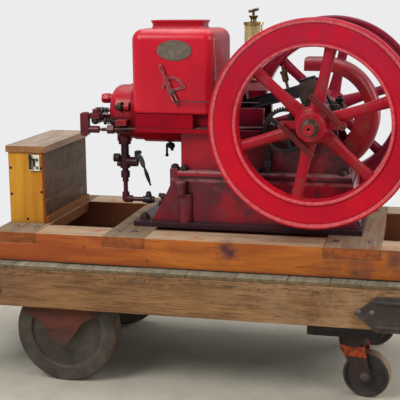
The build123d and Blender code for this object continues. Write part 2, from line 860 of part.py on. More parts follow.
def governor_weight():
    """One tapered bar weight with its pivot eye, to the right of the hub."""
    y1 = -wheel_centre_y - 30 - running_gap
    y0 = y1 - weight_thickness
    length = weight_length
    half = weight_width / 2
    outline = [
        (0, -half * 0.7), (length * 0.35, -half), (length, -half), (length + half * 0.9, -half * 0.4),
        (length + half * 0.9, half * 0.4), (length, half), (length * 0.35, half), (0, half * 0.7),
    ]
    bar = side_slab(outline, y0, y1)
    bar = fillet(bar.edges().filter_by(Axis.X), half * 0.4)
    bar += bar_y(weight_eye_radius, 0, y0, y1, 0)
    bar -= bar_y(weight_pin_radius + running_gap, 0, y0, y1, 0)
    bar -= bar_y(4, length, y0, y1, 0)
    return Pos(weight_pivot, 0, 0) * Rot(0, -weight_angle, 0) * bar


def crankshaft():
    """Both halves of the shaft with their squared webs and the turned-down ends."""
    inner = web_inner + running_gap
    outer = inner + web_thickness
    tip = crank_throw + web_tip
    wide = web_half_width
    outline = [
        (-web_tail, -wide - 6), (tip - 14, -wide), (tip, -wide + 12), (tip, wide - 12), (tip - 14, wide),
        (-web_tail, wide + 6),
    ]
    half = Rot(0, -crank_angle, 0) * side_slab(outline, -outer, -inner)
    half += bar_y(shaft_radius, 0, -hub_outer, -inner, 0)
    half += bar_y(stub_radius, 0, -shaft_end, -hub_outer, 0)
    centre = stub_centre_radius
    half -= turned_y([(0, -shaft_end), (centre, -shaft_end), (0, -shaft_end + centre)])
    return half, mirrored(half)


def gear_blank(teeth, width, y0, bore, phase):
    """A spur gear about Y with straight-sided teeth; the phase points at a tooth's middle."""
    pitch = gear_module * teeth / 2
    root = pitch - 1.25 * gear_module
    tip = pitch + gear_module
    pitch_angle = 360 / teeth
    half = pitch_angle * tooth_share / 2
    points = []
    for index in range(teeth):
        middle = phase + index * pitch_angle
        flank = ((-1.6 * half, root), (-0.55 * half, tip), (0.55 * half, tip), (1.6 * half, root))
        for offset, radius in flank:
            angle = radians(middle + offset)
            points.append((radius * cos(angle), radius * sin(angle)))
    return side_slab(points, y0, y0 + width) - bar_y(bore, 0, y0, y0 + width, 0)


def cam_gear():
    """The half-time gear with five wide windows, its hub and the exhaust cam."""
    y0 = -gear_face
    gear = gear_blank(gear_teeth, gear_width, y0, gear_stud_radius + running_gap,
                      gear_angle + 180 + 180 / gear_teeth)
    inner = gear_hub_radius + 4
    outer = gear_pitch_radius - 12
    windows = bar_y(outer, 0, y0, y0 + gear_width, 0) - bar_y(inner, 0, y0, y0 + gear_width, 0)
    for index in range(gear_openings):
        spoke = block(0, outer + 1, y0, y0 + gear_width, -gear_spoke_half, gear_spoke_half)
        windows -= Rot(0, index * 360 / gear_openings, 0) * spoke
    gear -= windows
    bore = gear_stud_radius + running_gap
    gear += turned_y([(bore, y0 - 5), (gear_hub_radius, y0 - 5), (gear_hub_radius, y0 + gear_width),
                      (bore, y0 + gear_width)])
    cam_y = y0 + gear_width
    cam = bar_y(cam_radius, 0, cam_y, cam_y + cam_width, 0)
    nose = Rot(0, -40, 0) * bar_y(cam_radius - 10, cam_lift + 10, cam_y, cam_y + cam_width, 0)
    gear += cam + nose
    gear -= bar_y(bore, 0, cam_y, cam_y + cam_width, 0)
    return Pos(gear_x, 0, gear_z) * gear


def crank_pinion():
    """The pinion keyed on the shaft beside the near bearing."""
    pinion = gear_blank(pinion_teeth, gear_width, -gear_face, shaft_radius + shaft_gap, gear_angle)
    return Pos(crank_x, 0, axis_z) * pinion


def push_rod():
    """The exhaust push rod with its lock nut and its roller end, held clear of the cam's nose."""
    fork = 24
    rod = bar_x(push_radius, push_radius, push_length, 0, 0)
    rod += Pos(push_radius, 0, 0) * Sphere(push_radius)
    rod += extrude(Plane.YZ.offset(push_nut_start) * RegularPolygon(push_nut_radius, 6), push_nut_length)
    rod += block(push_length - fork, push_length, -10, 10, -10, 10)
    rod += bar_y(roller_radius, push_length, -6, 6, 0)
    return along_push_rod(rod)


def rocker_arm_piece():
    """The cast rocker: a tall outer arm with the push screw, an elbow, the hub and the valve's finger."""
    left = rocker_x - rocker_left
    inner = left + rocker_thickness
    hub_near = push_y + rocker_half
    hub_far = valve_y + 10
    arm = block(left, inner, push_y - rocker_half, hub_near,
                rocker_z - rocker_below, rocker_z + rocker_above)
    arm = fillet(arm.edges().filter_by(Axis.Y), rocker_thickness / 3)
    screw = rocker_x + rocker_face
    thread = rocker_screw_radius
    arm += turned_x([
        (left + 12, 0), (left + 12, thread), (screw - 5, thread), (screw - 4, 7.5), (screw - 2, 5.5),
        (screw - 0.5, 3), (screw, 0),
    ], push_y, push_left_z)
    elbow = block(inner - 6, rocker_x + 17, push_y, hub_near + 23, rocker_z + 7, rocker_z + 25)
    arm += fillet(elbow.edges().filter_by(Axis.Y), 7)
    nut = Plane.XY.offset(rocker_z + 20) * Pos(rocker_x, push_y + 20) * RegularPolygon(12, 6)
    arm += extrude(nut, 18)
    arm += bar_y(rocker_hub_radius, rocker_x, hub_near, hub_far, rocker_z)
    finger_right = rocker_x + valve_face - 4
    arm += block(finger_right - 14, finger_right, valve_y - 10, hub_far, rocker_z, valve_z + 10)
    tip = rocker_x + valve_face - 6
    arm += bar_x(6, finger_right - 22, tip, valve_y, valve_z) + Pos(tip, valve_y, valve_z) * Sphere(6)
    return arm - bar_y(rocker_shaft_radius + running_gap, rocker_x, push_y - 1, hub_far + 1, rocker_z)


def exhaust_valve():
    """The exhaust valve's stem, short of the head by its travel."""
    start = rocker_x + valve_face + push_gap
    return bar_x(valve_radius, start, head_joint_x - head_flange - push_travel - 2, valve_y, valve_z)


def quadrant():
    """The open speed quadrant on the hopper with its left foot and pivot pin."""
    y1 = -hopper_half
    y0 = y1 - quadrant_plate
    outer = quadrant_radius
    ring = bar_y(outer, 0, y0, y1, 0) - bar_y(outer - quadrant_band, 0, y0, y1, 0)
    fan = [(0, 0)]
    steps = 5
    for step in range(steps + 1):
        angle = radians(quadrant_start + (quadrant_end - quadrant_start) * step / steps)
        fan.append((2 * outer * cos(angle), 2 * outer * sin(angle)))
    plate = ring & side_slab(fan, y0, y1)
    plate += side_slab([(8, 4), (outer - 4, 12), (outer - 5, 19), (8, 11)], y0, y1)
    plate += side_slab([(-22, 43), (-33, 12), (-26, 10), (-14, 40)], y0, y1)
    plate += bar_y(12, 0, y0, y1, 0) + bar_y(lever_pin_radius, 0, y0 - 12, y0, 0)
    return Pos(lever_x, 0, lever_z) * plate


def speed_lever():
    """The lever on the quadrant, with a necked handle and a slotted tail."""
    y1 = -hopper_half - quadrant_plate - running_gap
    y0 = y1 - lever_plate
    neck = quadrant_radius + 8
    upper = [(0, 7), (neck - 4, 6), (neck, 3.5), (neck + 8, 3.5), (neck + 14, 5.5), (lever_up - 14, 6),
             (lever_up - 4, 5), (lever_up, 1.5)]
    arm = side_slab(upper + [(along, -across) for along, across in reversed(upper)], y0, y1)
    arm = Rot(0, -lever_angle, 0) * arm + bar_y(10, 0, y0, y1, 0)
    end = tail_slot_end + 6
    tail = side_slab([
        (0, -8), (14, -9), (end - 4, -7.5), (end, -4), (end, 4), (end - 4, 7.5), (14, 9), (0, 8),
    ], y0, y1)
    slot = link_pin_radius + 0.9
    tail -= block(tail_slot_start, tail_slot_end, y0, y1, -slot, slot)
    arm += Rot(0, -tail_angle, 0) * tail
    arm -= bar_y(lever_pin_radius + running_gap, 0, y0, y1, 0)
    return Pos(lever_x, 0, lever_z) * arm


def speed_link():
    """The thin rod from the lever's tail to the governor, with its end turned into the slot."""
    y1 = -hopper_half - quadrant_plate - running_gap
    y = y1 - lever_plate - 1 - link_radius
    x = lever_x + lever_drop * cos(radians(tail_angle)) / -sin(radians(tail_angle))
    z = lever_z - lever_drop
    link = bar_x(link_radius, x, link_end, y, z)
    link += bar_y(link_pin_radius, x, y - link_radius, y1, z)
    return link


def mixer():
    """The fuel mixer under the head: neck, body, horn to the right and two bosses on the left."""
    body = bar_z(22, mixer_x, 0, mixer_top - 12, mixer_top) + bar_z(14, mixer_x, 0, mixer_body_z, mixer_top)
    body += bar_z(18, mixer_x, 0, mixer_body_z - 22, mixer_body_z + 22)
    horn = bar_x(horn_radius, mixer_x, horn_mouth, 0, mixer_body_z)
    horn -= bar_x(horn_radius - 4, mixer_x + 24, horn_mouth, 0, mixer_body_z)
    body += horn
    body += bar_x(7, mixer_x - 30, mixer_x, 0, mixer_body_z + 13)
    body += bar_x(15, mixer_x - 40, mixer_x - 20, 0, mixer_body_z + 13)
    body += bar_x(10, mixer_x - 28, mixer_x, 0, mixer_body_z - 8)
    half = flap_ear_half
    ears = bar_y(flap_ear, flap_hinge_x, -half, half, flap_hinge_z)
    low = flap_hinge_z - flap_ear
    high = flap_hinge_z + flap_ear
    ears += block(horn_mouth - 8, flap_hinge_x, -half, half, low, high)
    ears += block(horn_mouth - 8, horn_mouth, -half, half, mixer_body_z + horn_radius - 5, flap_hinge_z)
    gap = flap_lug_half + 2 * running_gap
    ears -= block(horn_mouth, flap_hinge_x + flap_ear, -gap, gap, low, high)
    body += ears
    return body - bar_y(flap_pin_radius + flap_pin_gap, flap_hinge_x, -half, half, flap_hinge_z)


def choke_flap():
    """The choke disc, hinged above the horn, with its slender handle, drawn closed then swung open."""
    x = flap_hinge_x
    disc_z = mixer_body_z
    flap = bar_x(flap_radius, x - flap_half, x + flap_half, 0, disc_z)
    flap += block(x - flap_half, x + flap_half, -flap_lug_half, flap_lug_half, disc_z, flap_hinge_z)
    flap += bar_y(flap_pin_radius, x, -flap_ear_half - 4, flap_ear_half + 4, flap_hinge_z)
    handle = turned_z([(0, 0), (3, 0), (4, -10), (7, -30), (6, -50), (3, -66), (4, -72), (0, -74)])
    flap += Pos(x + 1, 0, disc_z - flap_radius + 6) * handle
    return Pos(x, 0, flap_hinge_z) * Rot(0, -flap_open, 0) * Pos(-x, 0, -flap_hinge_z) * flap


def fuel_line():
    """Union, down pipe, elbow and the level pipe to the cock."""
    top = mixer_body_z - 22
    pipe = bar_z(mixer_pipe_radius, mixer_x, 0, fuel_z, top)
    pipe += bar_z(16, mixer_x, 0, top - 34, top - 12) + bar_z(11, mixer_x, 0, top - 50, top)
    pipe += Pos(mixer_x, 0, fuel_z) * Sphere(13)
    pipe += bar_z(13, mixer_x, 0, fuel_z, fuel_z + 24) + bar_x(13, mixer_x, mixer_x + 24, 0, fuel_z)
    return pipe + bar_x(mixer_pipe_radius, mixer_x, cock_left, 0, fuel_z)


def fuel_cock():
    """The check valve between the level pipe and the tank, with its domed bonnet."""
    end = cock_left + cock_length
    middle = (cock_left + end) / 2
    valve = turned_x([(cock_left, 0), (cock_left, 12), (cock_left + 9, 12), (cock_left + 13, 15),
                      (end - 11, 15), (end - 7, 12), (end, 12), (end, 0)], 0, fuel_z)
    return valve + turned_z([
        (0, fuel_z), (11, fuel_z), (11, fuel_z + 17), (9, fuel_z + 21), (9, fuel_z + 26),
        (5, fuel_z + 29), (0, fuel_z + 29),
    ], middle)


def drain_cock():
    """The small water drain under the barrel: a round body, a spout and its lever turned down."""
    bottom = axis_z - barrel_radius
    body = bar_z(6, drain_x, -10, bottom - 8, bottom + 2)
    body += bar_x(8, drain_x - 12, drain_x + 10, -10, bottom - 12)
    body += Pos(drain_x + 6, -10, bottom - 13) * Sphere(12)
    body += turned_z([
        (0, bottom - 10), (4, bottom - 10), (4, bottom - 40), (6, bottom - 44), (6, bottom - 50),
        (0, bottom - 52),
    ], drain_x - 11, -10)
    body += bar_z(5, drain_x + 8, -10, bottom - 30, bottom - 16)
    return body - bar_x(barrel_radius + seat_gap, drain_x - 30, drain_x + 30, 0, axis_z)


def battery_box():
    """The open wooden box with a base strip and the fixed leaves of its hinges."""
    z1 = skid_top + box_height
    box = block(box_left, box_right, box_near, box_far, skid_top, z1)
    box -= block(box_left + box_wall, box_right - box_wall, box_near + box_wall, box_far - box_wall,
                 skid_top + box_wall, z1)
    box += block(box_right, box_right + 9, box_near, box_far, skid_top, skid_top + 24)
    for y in hinge_places():
        box += block(box_left - hinge_leaf, box_left, y - hinge_length / 2, y + hinge_length / 2,
                     z1 - 40, z1 - 8)
    return box


def box_lid():
    """The flat lid, overhanging the box all round, with its hinge knuckles on the left."""
    z0 = skid_top + box_height + seat_gap
    left = box_left - lid_overhang
    lid = block(left, box_right + lid_overhang, box_near - lid_overhang, box_far + lid_overhang,
                z0, z0 + lid_thickness)
    for y in hinge_places():
        lid += bar_y(hinge_radius, left, y - hinge_length / 2, y + hinge_length / 2, z0)
    return lid


def knife_switch():
    """The white switch base on the box's near end."""
    return block(switch_left, switch_left + switch_width, box_near - switch_depth, box_near,
                 switch_bottom, switch_bottom + switch_height)


def build():
    """Write every sub-part."""
    os.makedirs("parts", exist_ok=True)
    save("cart_deck", cart_deck())
    save("cart_frame", cart_frame())
    iron = corner_iron()
    far_iron = mirrored(iron)
    save("corner_irons", iron, far_iron, mirror(iron, Plane.YZ), mirror(far_iron, Plane.YZ))
    save("wheel_brackets", wheel_brackets())
    wheel = big_wheel()
    save("big_wheel_near", wheel)
    save("big_wheel_far", mirrored(wheel))
    save("caster_plates", caster_plate(-1), caster_plate(1))
    for name, side, turn in (("near", -1, caster_turns[0]), ("far", 1, caster_turns[1])):
        save(f"caster_fork_{name}", caster_fork(side, turn))
        save(f"caster_wheel_{name}", caster_wheel(side, turn))
    timber = skid_timber()
    save("skid_timber_near", timber)
    save("skid_timber_far", mirrored(timber))
    save("skid_planks", *skid_planks())
    save("sub_base", sub_base())
    save("fuel_filler", fuel_filler())
    save("engine_bed", engine_bed())
    save("fuel_pump", fuel_pump())
    cap = bearing_cap()
    save("bearing_caps", cap, mirrored(cap))
    save("cylinder", cylinder())
    save("water_hopper", water_hopper())
    save("cylinder_head", cylinder_head())
    save("piston", piston())
    save("connecting_rod", connecting_rod())
    save("crank_pin", crank_pin())
    save("rod_oiler", rod_oiler())
    save("crank_guard", crank_guard())
    brass, glass = oiler_parts()
    save("cylinder_oiler", brass)
    save("oiler_glass", glass)
    at_crank = Pos(crank_x, 0, axis_z)
    wheel = flywheel()
    near = wheel
    for lug in governor_lugs():
        near += lug
    save("flywheel_near", at_crank * near)
    save("flywheel_far", at_crank * mirrored(wheel))
    weight = governor_weight()
    save("governor_weight_right", at_crank * weight)
    save("governor_weight_left", at_crank * Rot(0, 180, 0) * weight)
    save("crankshaft", *[at_crank * half for half in crankshaft()])
    save("crank_pinion", crank_pinion())
    save("cam_gear", cam_gear())
    save("push_rod", push_rod())
    save("rocker_arm", rocker_arm_piece())
    save("rocker_shaft", bar_y(rocker_shaft_radius, rocker_x, push_y + 4, -rocker_bracket[0], rocker_z))
    save("exhaust_valve", exhaust_valve())
    save("speed_quadrant", quadrant())
    save("speed_lever", speed_lever())
    save("speed_link", speed_link())
    save("mixer", mixer())
    save("choke_flap", choke_flap())
    save("fuel_line", fuel_line())
    save("fuel_cock", fuel_cock())
    save("drain_cock", drain_cock())
    save("battery_box", battery_box())
    save("box_lid", box_lid())
    save("knife_switch", knife_switch())
    oval = Ellipse(plate_half_length, plate_half_height)
    plate = Plane.XZ.offset(hopper_half) * Pos(plate_x, plate_z) * oval
    save("name_plate", extrude(plate, 2))


build()
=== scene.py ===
"""Looks of the hit-and-miss engine, its timber skid and its factory cart.

Metres, in the frame of the model: +Z up, +X from the cylinder head to the crank, -Y the near side.
"""

from math import cos, radians, sin, tau
import random

import bmesh
import bpy
from mathutils import Matrix, Vector


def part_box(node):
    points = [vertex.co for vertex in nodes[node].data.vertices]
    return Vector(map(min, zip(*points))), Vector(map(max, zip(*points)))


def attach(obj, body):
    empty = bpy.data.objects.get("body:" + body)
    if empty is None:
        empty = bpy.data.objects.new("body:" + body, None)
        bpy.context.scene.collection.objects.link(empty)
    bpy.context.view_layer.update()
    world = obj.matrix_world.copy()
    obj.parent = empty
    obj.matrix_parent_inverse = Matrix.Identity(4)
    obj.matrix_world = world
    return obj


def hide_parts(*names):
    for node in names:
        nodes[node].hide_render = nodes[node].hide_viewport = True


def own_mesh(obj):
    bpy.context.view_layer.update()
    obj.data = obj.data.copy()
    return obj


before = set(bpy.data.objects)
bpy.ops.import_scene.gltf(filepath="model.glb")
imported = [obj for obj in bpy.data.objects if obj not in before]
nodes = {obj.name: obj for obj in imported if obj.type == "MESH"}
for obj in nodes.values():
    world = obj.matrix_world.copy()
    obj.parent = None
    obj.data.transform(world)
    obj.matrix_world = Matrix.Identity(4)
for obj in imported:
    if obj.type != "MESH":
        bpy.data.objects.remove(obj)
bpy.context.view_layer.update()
scene = bpy.context.scene

# Camera, as the photograph was taken
photo_side = 400
focal_pixels = 955.24
sensor = 36.0
camera_place = Vector((0.7476, -3.2008, 1.2350))
camera_right = Vector((0.97477, 0.22312, -0.00613))
camera_up = Vector((-0.03836, 0.19453, 0.98015))

# Stage
background = (0.84, 0.84, 0.85)
floor_colour = (0.515, 0.480, 0.385)
floor_side = 24.0
fill_colour = (0.80, 0.82, 0.86)
fill_strength = 0.42

# Places on the model
crank_x = 0.434
crank_z = 0.880
plank_top = 0.506
wheel_middles = ((-0.376, -0.298, 0.172), (-0.376, 0.298, 0.172))
caster_middles = ((0.6165, -0.2475, 0.076), (0.6167, 0.2459, 0.076))
spoke_reach = 0.233
# Radii of the flywheel's beads, where painted highlights go
bead_highlight_radii = ((0.3085, 0.3185), (0.2385, 0.2465))

# Softened edges
edge_round = 0.0018
fine_edge = 0.0004
weld_reach = 0.00005
soft_samples = 6


def placed(name, data):
    """A new object in the scene."""
    made = bpy.data.objects.new(name, data)
    scene.collection.objects.link(made)
    return made


def corners(node):
    """The lowest and the highest corner of a node."""
    return [Vector(corner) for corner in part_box(node)]


def times(factor, values):
    """A colour or a size, multiplied."""
    return tuple(factor * value for value in values)


def make_camera():
    """The camera of the photograph."""
    data = bpy.data.cameras.new("photo_camera")
    data.sensor_width = sensor
    data.lens = sensor * focal_pixels / photo_side
    camera = placed("photo_camera", data)
    back = camera_right.cross(camera_up)
    turn = Matrix((camera_right, camera_up, back)).transposed().to_4x4()
    camera.matrix_world = Matrix.Translation(camera_place) @ turn
    scene.camera = camera


def feed(tree, socket, value):
    """Set a socket to a value, or link another socket to it."""
    if isinstance(value, bpy.types.NodeSocket):
        tree.links.new(value, socket)
    elif isinstance(value, tuple) and len(value) == 3 and socket.type == "RGBA":
        socket.default_value = (*value, 1.0)
    else:
        socket.default_value = value


def add_node(tree, kind, inputs=None, **settings):
    """A node with its settings; its inputs, by name or number, are values or sockets."""
    made = tree.nodes.new(kind)
    for key, value in settings.items():
        setattr(made, key, value)
    for key, value in (inputs or {}).items():
        feed(tree, made.inputs[key], value)
    return made


class Finish:
    """A node material while it is put together; tone is its colour so far."""

    def __init__(self, name, roughness, metallic=0.0, **sockets):
        self.made = bpy.data.materials.new(name)
        self.made.use_nodes = True
        self.tree = self.made.node_tree
        self.shader = self.tree.nodes["Principled BSDF"]
        sockets.update(Metallic=metallic, Roughness=roughness)
        for socket, value in sockets.items():
            self.shader.inputs[socket.replace("_", " ")].default_value = value
        own = self.node("ShaderNodeTexCoord")
        self.place = own.outputs["Object"]
        self.facing = own.outputs["Normal"]
        self.normal = self.node("ShaderNodeNewGeometry").outputs["Normal"]
        self.tone = None

    def node(self, kind, inputs=None, **settings):
        return add_node(self.tree, kind, inputs, **settings)

    def moved(self, scale, shift):
        """The object's own coordinates, scaled and then shifted."""
        return self.node("ShaderNodeMapping", {
            "Vector": self.place, "Scale": scale, "Location": shift}).outputs["Vector"]

    def away(self, scale, shift):
        """The length of the moved coordinates."""
        return self.node("ShaderNodeVectorMath", {0: self.moved(scale, shift)}, operation="LENGTH").outputs["Value"]

    def noise(self, scale, detail=3.0, rough=0.55, stretch=(1, 1, 1), seed=0.0, twist=0.0):
        return self.node("ShaderNodeTexNoise", {
            "Vector": self.moved(stretch, (seed, seed * 1.7, seed * 0.6)), "Scale": scale, "Detail": detail,
            "Roughness": rough, "Distortion": twist,
        }).outputs["Fac"]

    def span(self, value, low, high):
        """0 below low and 1 above high, smooth between them; low may be the larger."""
        return self.node("ShaderNodeMapRange", {
            "Value": value, "From Min": low, "From Max": high,
        }, interpolation_type="SMOOTHSTEP").outputs["Result"]

    def cloud(self, low, high, *noise, **more):
        """Noise as patches: 0 where it is below low and 1 where it is above high."""
        return self.span(self.noise(*noise, **more), low, high)

    def spot(self, middle, size, soft, ragged):
        """1 inside an oval round a point, with a ragged soft edge; a size of 0 is endless."""
        scale = tuple(1 / s if s else 0.0 for s in size)
        away = self.away(scale, tuple(-m * s for m, s in zip(middle, scale)))
        wave = self.both(self.noise(55.0, 3), ragged)
        total = self.node("ShaderNodeMath", {0: away, 1: wave}, operation="ADD").outputs[0]
        return self.span(total, 1.0 + ragged / 2, 1.0 + ragged / 2 - soft)

    def math(self, operation, a, b=0.0):
        """One operation on two values, kept between 0 and 1 unless it is a difference."""
        return self.node("ShaderNodeMath", {0: a, 1: b}, operation=operation,
                         use_clamp=operation != "SUBTRACT").outputs[0]

    def both(self, a, b):
        """The product of two shares."""
        return self.math("MULTIPLY", a, b)

    def mix(self, share, a, b, how="MIX"):
        return self.node("ShaderNodeMix", {0: share, 6: a, 7: b}, data_type="RGBA", blend_type=how).outputs[2]

    def over(self, share, tone, colour, amount=None):
        """A colour laid over a tone where the share says."""
        return self.mix(share if amount is None else self.both(share, amount), tone, colour)

    def lay(self, share, colour, amount=None):
        """Lay a colour over the finish's own tone."""
        self.tone = self.over(share, self.tone, colour, amount)

    def part(self, vector, letter):
        return self.node("ShaderNodeSeparateXYZ", {"Vector": vector}).outputs[letter]

    def axis(self, letter):
        """One part of the normal."""
        return self.part(self.facing, letter)

    def at(self, letter):
        """One coordinate of the place."""
        return self.part(self.place, letter)

    def towards(self, letter):
        """1 on faces that look along an axis, either way."""
        return self.span(self.math("ABSOLUTE", self.axis(letter)), 0.6, 0.85)

    def edges(self, radius):
        """1 along the edges of the shape."""
        soft = self.node("ShaderNodeBevel", {"Radius": radius}, samples=soft_samples).outputs["Normal"]
        turned = self.node("ShaderNodeVectorMath", {0: soft, 1: self.normal}, operation="DOT_PRODUCT")
        return self.span(self.math("SUBTRACT", 1.0, turned.outputs["Value"]), 0.02, 0.16)

    def hollows(self, distance, low=0.15, high=0.75):
        """1 where other surfaces stand close."""
        seen = self.node("ShaderNodeAmbientOcclusion", {"Distance": distance}, samples=soft_samples).outputs["AO"]
        return self.span(self.math("SUBTRACT", 1.0, seen), low, high)

    def bump(self, height, strength, distance):
        made = self.node("ShaderNodeBump", {"Height": height, "Strength": strength, "Distance": distance})
        feed(self.tree, self.shader.inputs["Normal"], made.outputs["Normal"])

    def gloss(self, share, smooth, rough):
        """Roughness between two values."""
        made = self.node("ShaderNodeMapRange", {"Value": share, "To Min": smooth, "To Max": min(1.0, rough)})
        feed(self.tree, self.shader.inputs["Roughness"], made.outputs["Result"])

    def done(self):
        """The material with its tone as its colour."""
        feed(self.tree, self.shader.inputs["Base Color"], self.tone)
        return self.made


def enamel(name, base, deep, worn, wear, corner_shade, patches, corner_shade_tone=(0.035, 0.014, 0.012), dust=0.0, extra=None, shine=1.0):
    """Old brushed enamel on cast iron: uneven colour, worn edges, painted shade in the corners, dust on top."""
    f = Finish(name, roughness=0.34, Coat_Weight=0.14 * shine, Coat_Roughness=0.1, Specular_IOR_Level=0.2 * shine)
    f.tone = f.mix(f.cloud(0.35, 0.68, 5.0, 4), base, deep)
    f.lay(f.cloud(0.44, 0.74, 42.0, 4, 0.6, stretch=(1, 1, 0.22), seed=6.0), deep, 0.4)
    f.lay(f.cloud(0.52, 0.75, 38.0, 5, 0.65), deep, 0.35)
    f.lay(f.cloud(0.62 - 0.12 * patches, 0.8, 9.0, 6, 0.6, seed=3.1), worn, patches)
    if extra:
        extra(f)
    if dust:
        settled = f.both(f.span(f.axis("Z"), 0.35, 0.95), f.cloud(0.25, 0.6, 22.0, 5, seed=2.2))
        f.lay(settled, (0.42, 0.30, 0.27), dust)
    chipped = f.both(f.cloud(0.35, 0.62, 60.0, 4, 0.7, seed=1.3), wear)
    f.lay(f.both(f.edges(0.005), chipped), worn)
    # Painted shade: the enamel darkened where other surfaces stand close
    corner = f.both(f.hollows(0.05), corner_shade)
    f.lay(corner, corner_shade_tone)
    f.gloss(f.math("ADD", f.both(f.noise(24.0, 4), 0.5), corner), 0.2, 0.6)
    f.bump(f.math("ADD", f.both(f.noise(55.0, 3), 0.7), f.both(f.noise(260.0, 2), 0.3)), 0.38, 0.0020)
    return f.done()


def oily_iron(name, base, dust, rough, rust=0.2):
    """Bare or blackened iron with oil, dust and a little rust."""
    f = Finish(name, roughness=rough, metallic=0.35, Specular_IOR_Level=0.35)
    f.tone = f.mix(f.cloud(0.4, 0.7, 14.0, 5, 0.6), base, dust)
    f.lay(f.cloud(0.5, 0.72, 30.0, 6, 0.7, seed=5.0), (0.10, 0.035, 0.015), rust)
    f.lay(f.edges(0.003), dust, 0.35)
    f.gloss(f.noise(40.0, 3), rough * 0.7, rough * 1.7)
    f.bump(f.noise(120.0, 4), 0.25, 0.0008)
    return f.done()


def turned_steel(name, metallic, bright, dark, extra=None):
    """Turned steel, browned with old oil."""
    f = Finish(name, roughness=0.3, metallic=metallic)
    f.tone = f.mix(f.cloud(0.35, 0.7, 20.0, 4), bright, dark)
    if extra:
        extra(f)
    f.gloss(f.noise(60.0, 3), 0.2, 0.5)
    f.bump(f.noise(300.0, 2, stretch=(1, 0.1, 1)), 0.1, 0.0004)
    return f.done()


def old_brass(name, base, dark):
    """Brass dulled and darkened in the corners."""
    f = Finish(name, roughness=0.35, metallic=0.9)
    stain = f.cloud(0.35, 0.7, 45.0, 5, 0.65)
    f.tone = f.mix(f.math("MAXIMUM", stain, f.hollows(0.01, 0.2, 0.6)), base, dark)
    f.gloss(stain, 0.22, 0.55)
    f.bump(f.noise(220.0, 3), 0.15, 0.0005)
    return f.done()


def oily_glass(name):
    """Thin clear glass with a yellow film of oil."""
    f = Finish(name, roughness=0.12, Transmission_Weight=0.7, IOR=1.45)
    film = f.cloud(0.35, 0.65, 30.0, 4, stretch=(1, 1, 0.3))
    f.tone = f.mix(film, (0.80, 0.62, 0.24), (0.88, 0.78, 0.46))
    f.gloss(f.noise(80.0, 3), 0.05, 0.2)
    return f.done()


def timber(name, light, dark, edge, rough, edge_share=0.3, top=None, ends=None, along="X", streaks=1.0, knots=(),
           coat=0.0, dirty=0.3, seed=0.0, toned=False, extra=None, shine=0.3):
    """Sawn wood with its grain along one axis, knots, worn edges, stains and painted shade in the hollows."""
    f = Finish(name, roughness=rough, Coat_Weight=coat, Coat_Roughness=0.2, Specular_IOR_Level=shine)
    thin = tuple(0.05 if letter == along else 1 for letter in "XYZ")
    long = tuple(0.25 if letter == along else 1 for letter in "XYZ")
    grain = f.noise(70.0, 5, 0.6, stretch=thin, seed=seed, twist=0.4)
    broad = f.noise(9.0, 5, 0.6, stretch=long, seed=seed + 2.0, twist=1.2)
    fine = f.noise(260.0, 2, 0.6, stretch=thin, seed=seed + 4.0)
    f.tone = f.mix(f.span(broad, 0.32, 0.68), light, dark)
    f.lay(f.span(grain, 0.46, 0.68), dark, 0.55 * streaks)
    f.lay(f.span(fine, 0.5, 0.75), dark, 0.25 * streaks)
    if top:
        raw = f.mix(f.span(grain, 0.35, 0.7), top, times(0.6, top))
        f.lay(f.both(f.span(f.axis("Z"), 0.55, 0.9), f.cloud(0.25, 0.5, 12.0, 5, 0.7, seed=seed)), raw)
    if ends:
        cut = f.mix(f.cloud(0.35, 0.7, 60.0, 4, seed=seed), ends, times(0.6, ends))
        f.lay(f.towards(along), cut)
    if toned:
        own = f.node("ShaderNodeAttribute", attribute_name="tone").outputs["Fac"]
        f.tone = f.mix(0.6, f.tone, f.mix(own, (0.45, 0.43, 0.42), (1.0, 1.0, 1.0)), "MULTIPLY")
    for middle, size in knots:
        f.lay(f.spot(middle, times(2.6, size), 1.2, 0.9), (0.12, 0.030, 0.026), 0.75)
        f.lay(f.spot(middle, size, 0.8, 0.9), (0.040, 0.014, 0.022), 0.8)
    if extra:
        extra(f)
    f.lay(f.both(f.edges(0.006), f.cloud(0.35, 0.6, 25.0, 4, seed=seed)), edge, edge_share)
    stain = f.both(f.cloud(0.5, 0.74, 6.0, 6, 0.7, seed=seed + 9.0), dirty)
    # Real stains, and painted shade where other surfaces stand close
    f.lay(f.math("MAXIMUM", stain, f.both(f.hollows(0.03, 0.2, 0.9), 0.6)), (0.03, 0.022, 0.017))
    f.gloss(f.noise(50.0, 4, stretch=thin), rough * 0.75, rough * 1.35)
    f.bump(f.math("ADD", f.both(grain, 0.6), f.both(fine, 0.4)), 0.35, 0.0016)
    return f.done()


def plain(name, colour, dark, rough, metallic=0.0, scale=30.0):
    """A small plain finish with stains."""
    f = Finish(name, roughness=rough, metallic=metallic)
    f.tone = f.mix(f.cloud(0.4, 0.72, scale, 5, 0.65), colour, dark)
    f.gloss(f.noise(60.0, 3), rough * 0.7, rough * 1.4)
    f.bump(f.noise(150.0, 3), 0.15, 0.0006)
    return f.done()


def floor_finish():
    """A plain pale floor that fades into the background far from the cart."""
    f = Finish("floor", roughness=0.75)
    f.tone = f.mix(f.noise(2.0, 5), floor_colour, times(0.90, floor_colour))
    f.lay(f.cloud(0.42, 0.70, 7.0, 8, 0.7, stretch=(1, 0.7, 1)), (0.35, 0.33, 0.265), 0.55)
    f.lay(f.cloud(0.62, 0.72, 60.0, 5, 0.7), (0.22, 0.20, 0.17), 0.5)
    fade = f.span(f.away((0.8, 1.0, 1.0), (0.0, 0.75, 0.0)), 1.9, 2.8)
    glow = f.node("ShaderNodeEmission", {"Color": background})
    blend = f.node("ShaderNodeMixShader", {0: fade, 1: f.shader.outputs[0], 2: glow.outputs[0]})
    feed(f.tree, f.tree.nodes["Material Output"].inputs[0], blend.outputs[0])
    return f.done()


def round_crank(f, radius, soft, ragged):
    """1 within a radius of the crank's axis."""
    return f.spot((crank_x, 0, crank_z), (radius, 0, radius), soft, ragged)


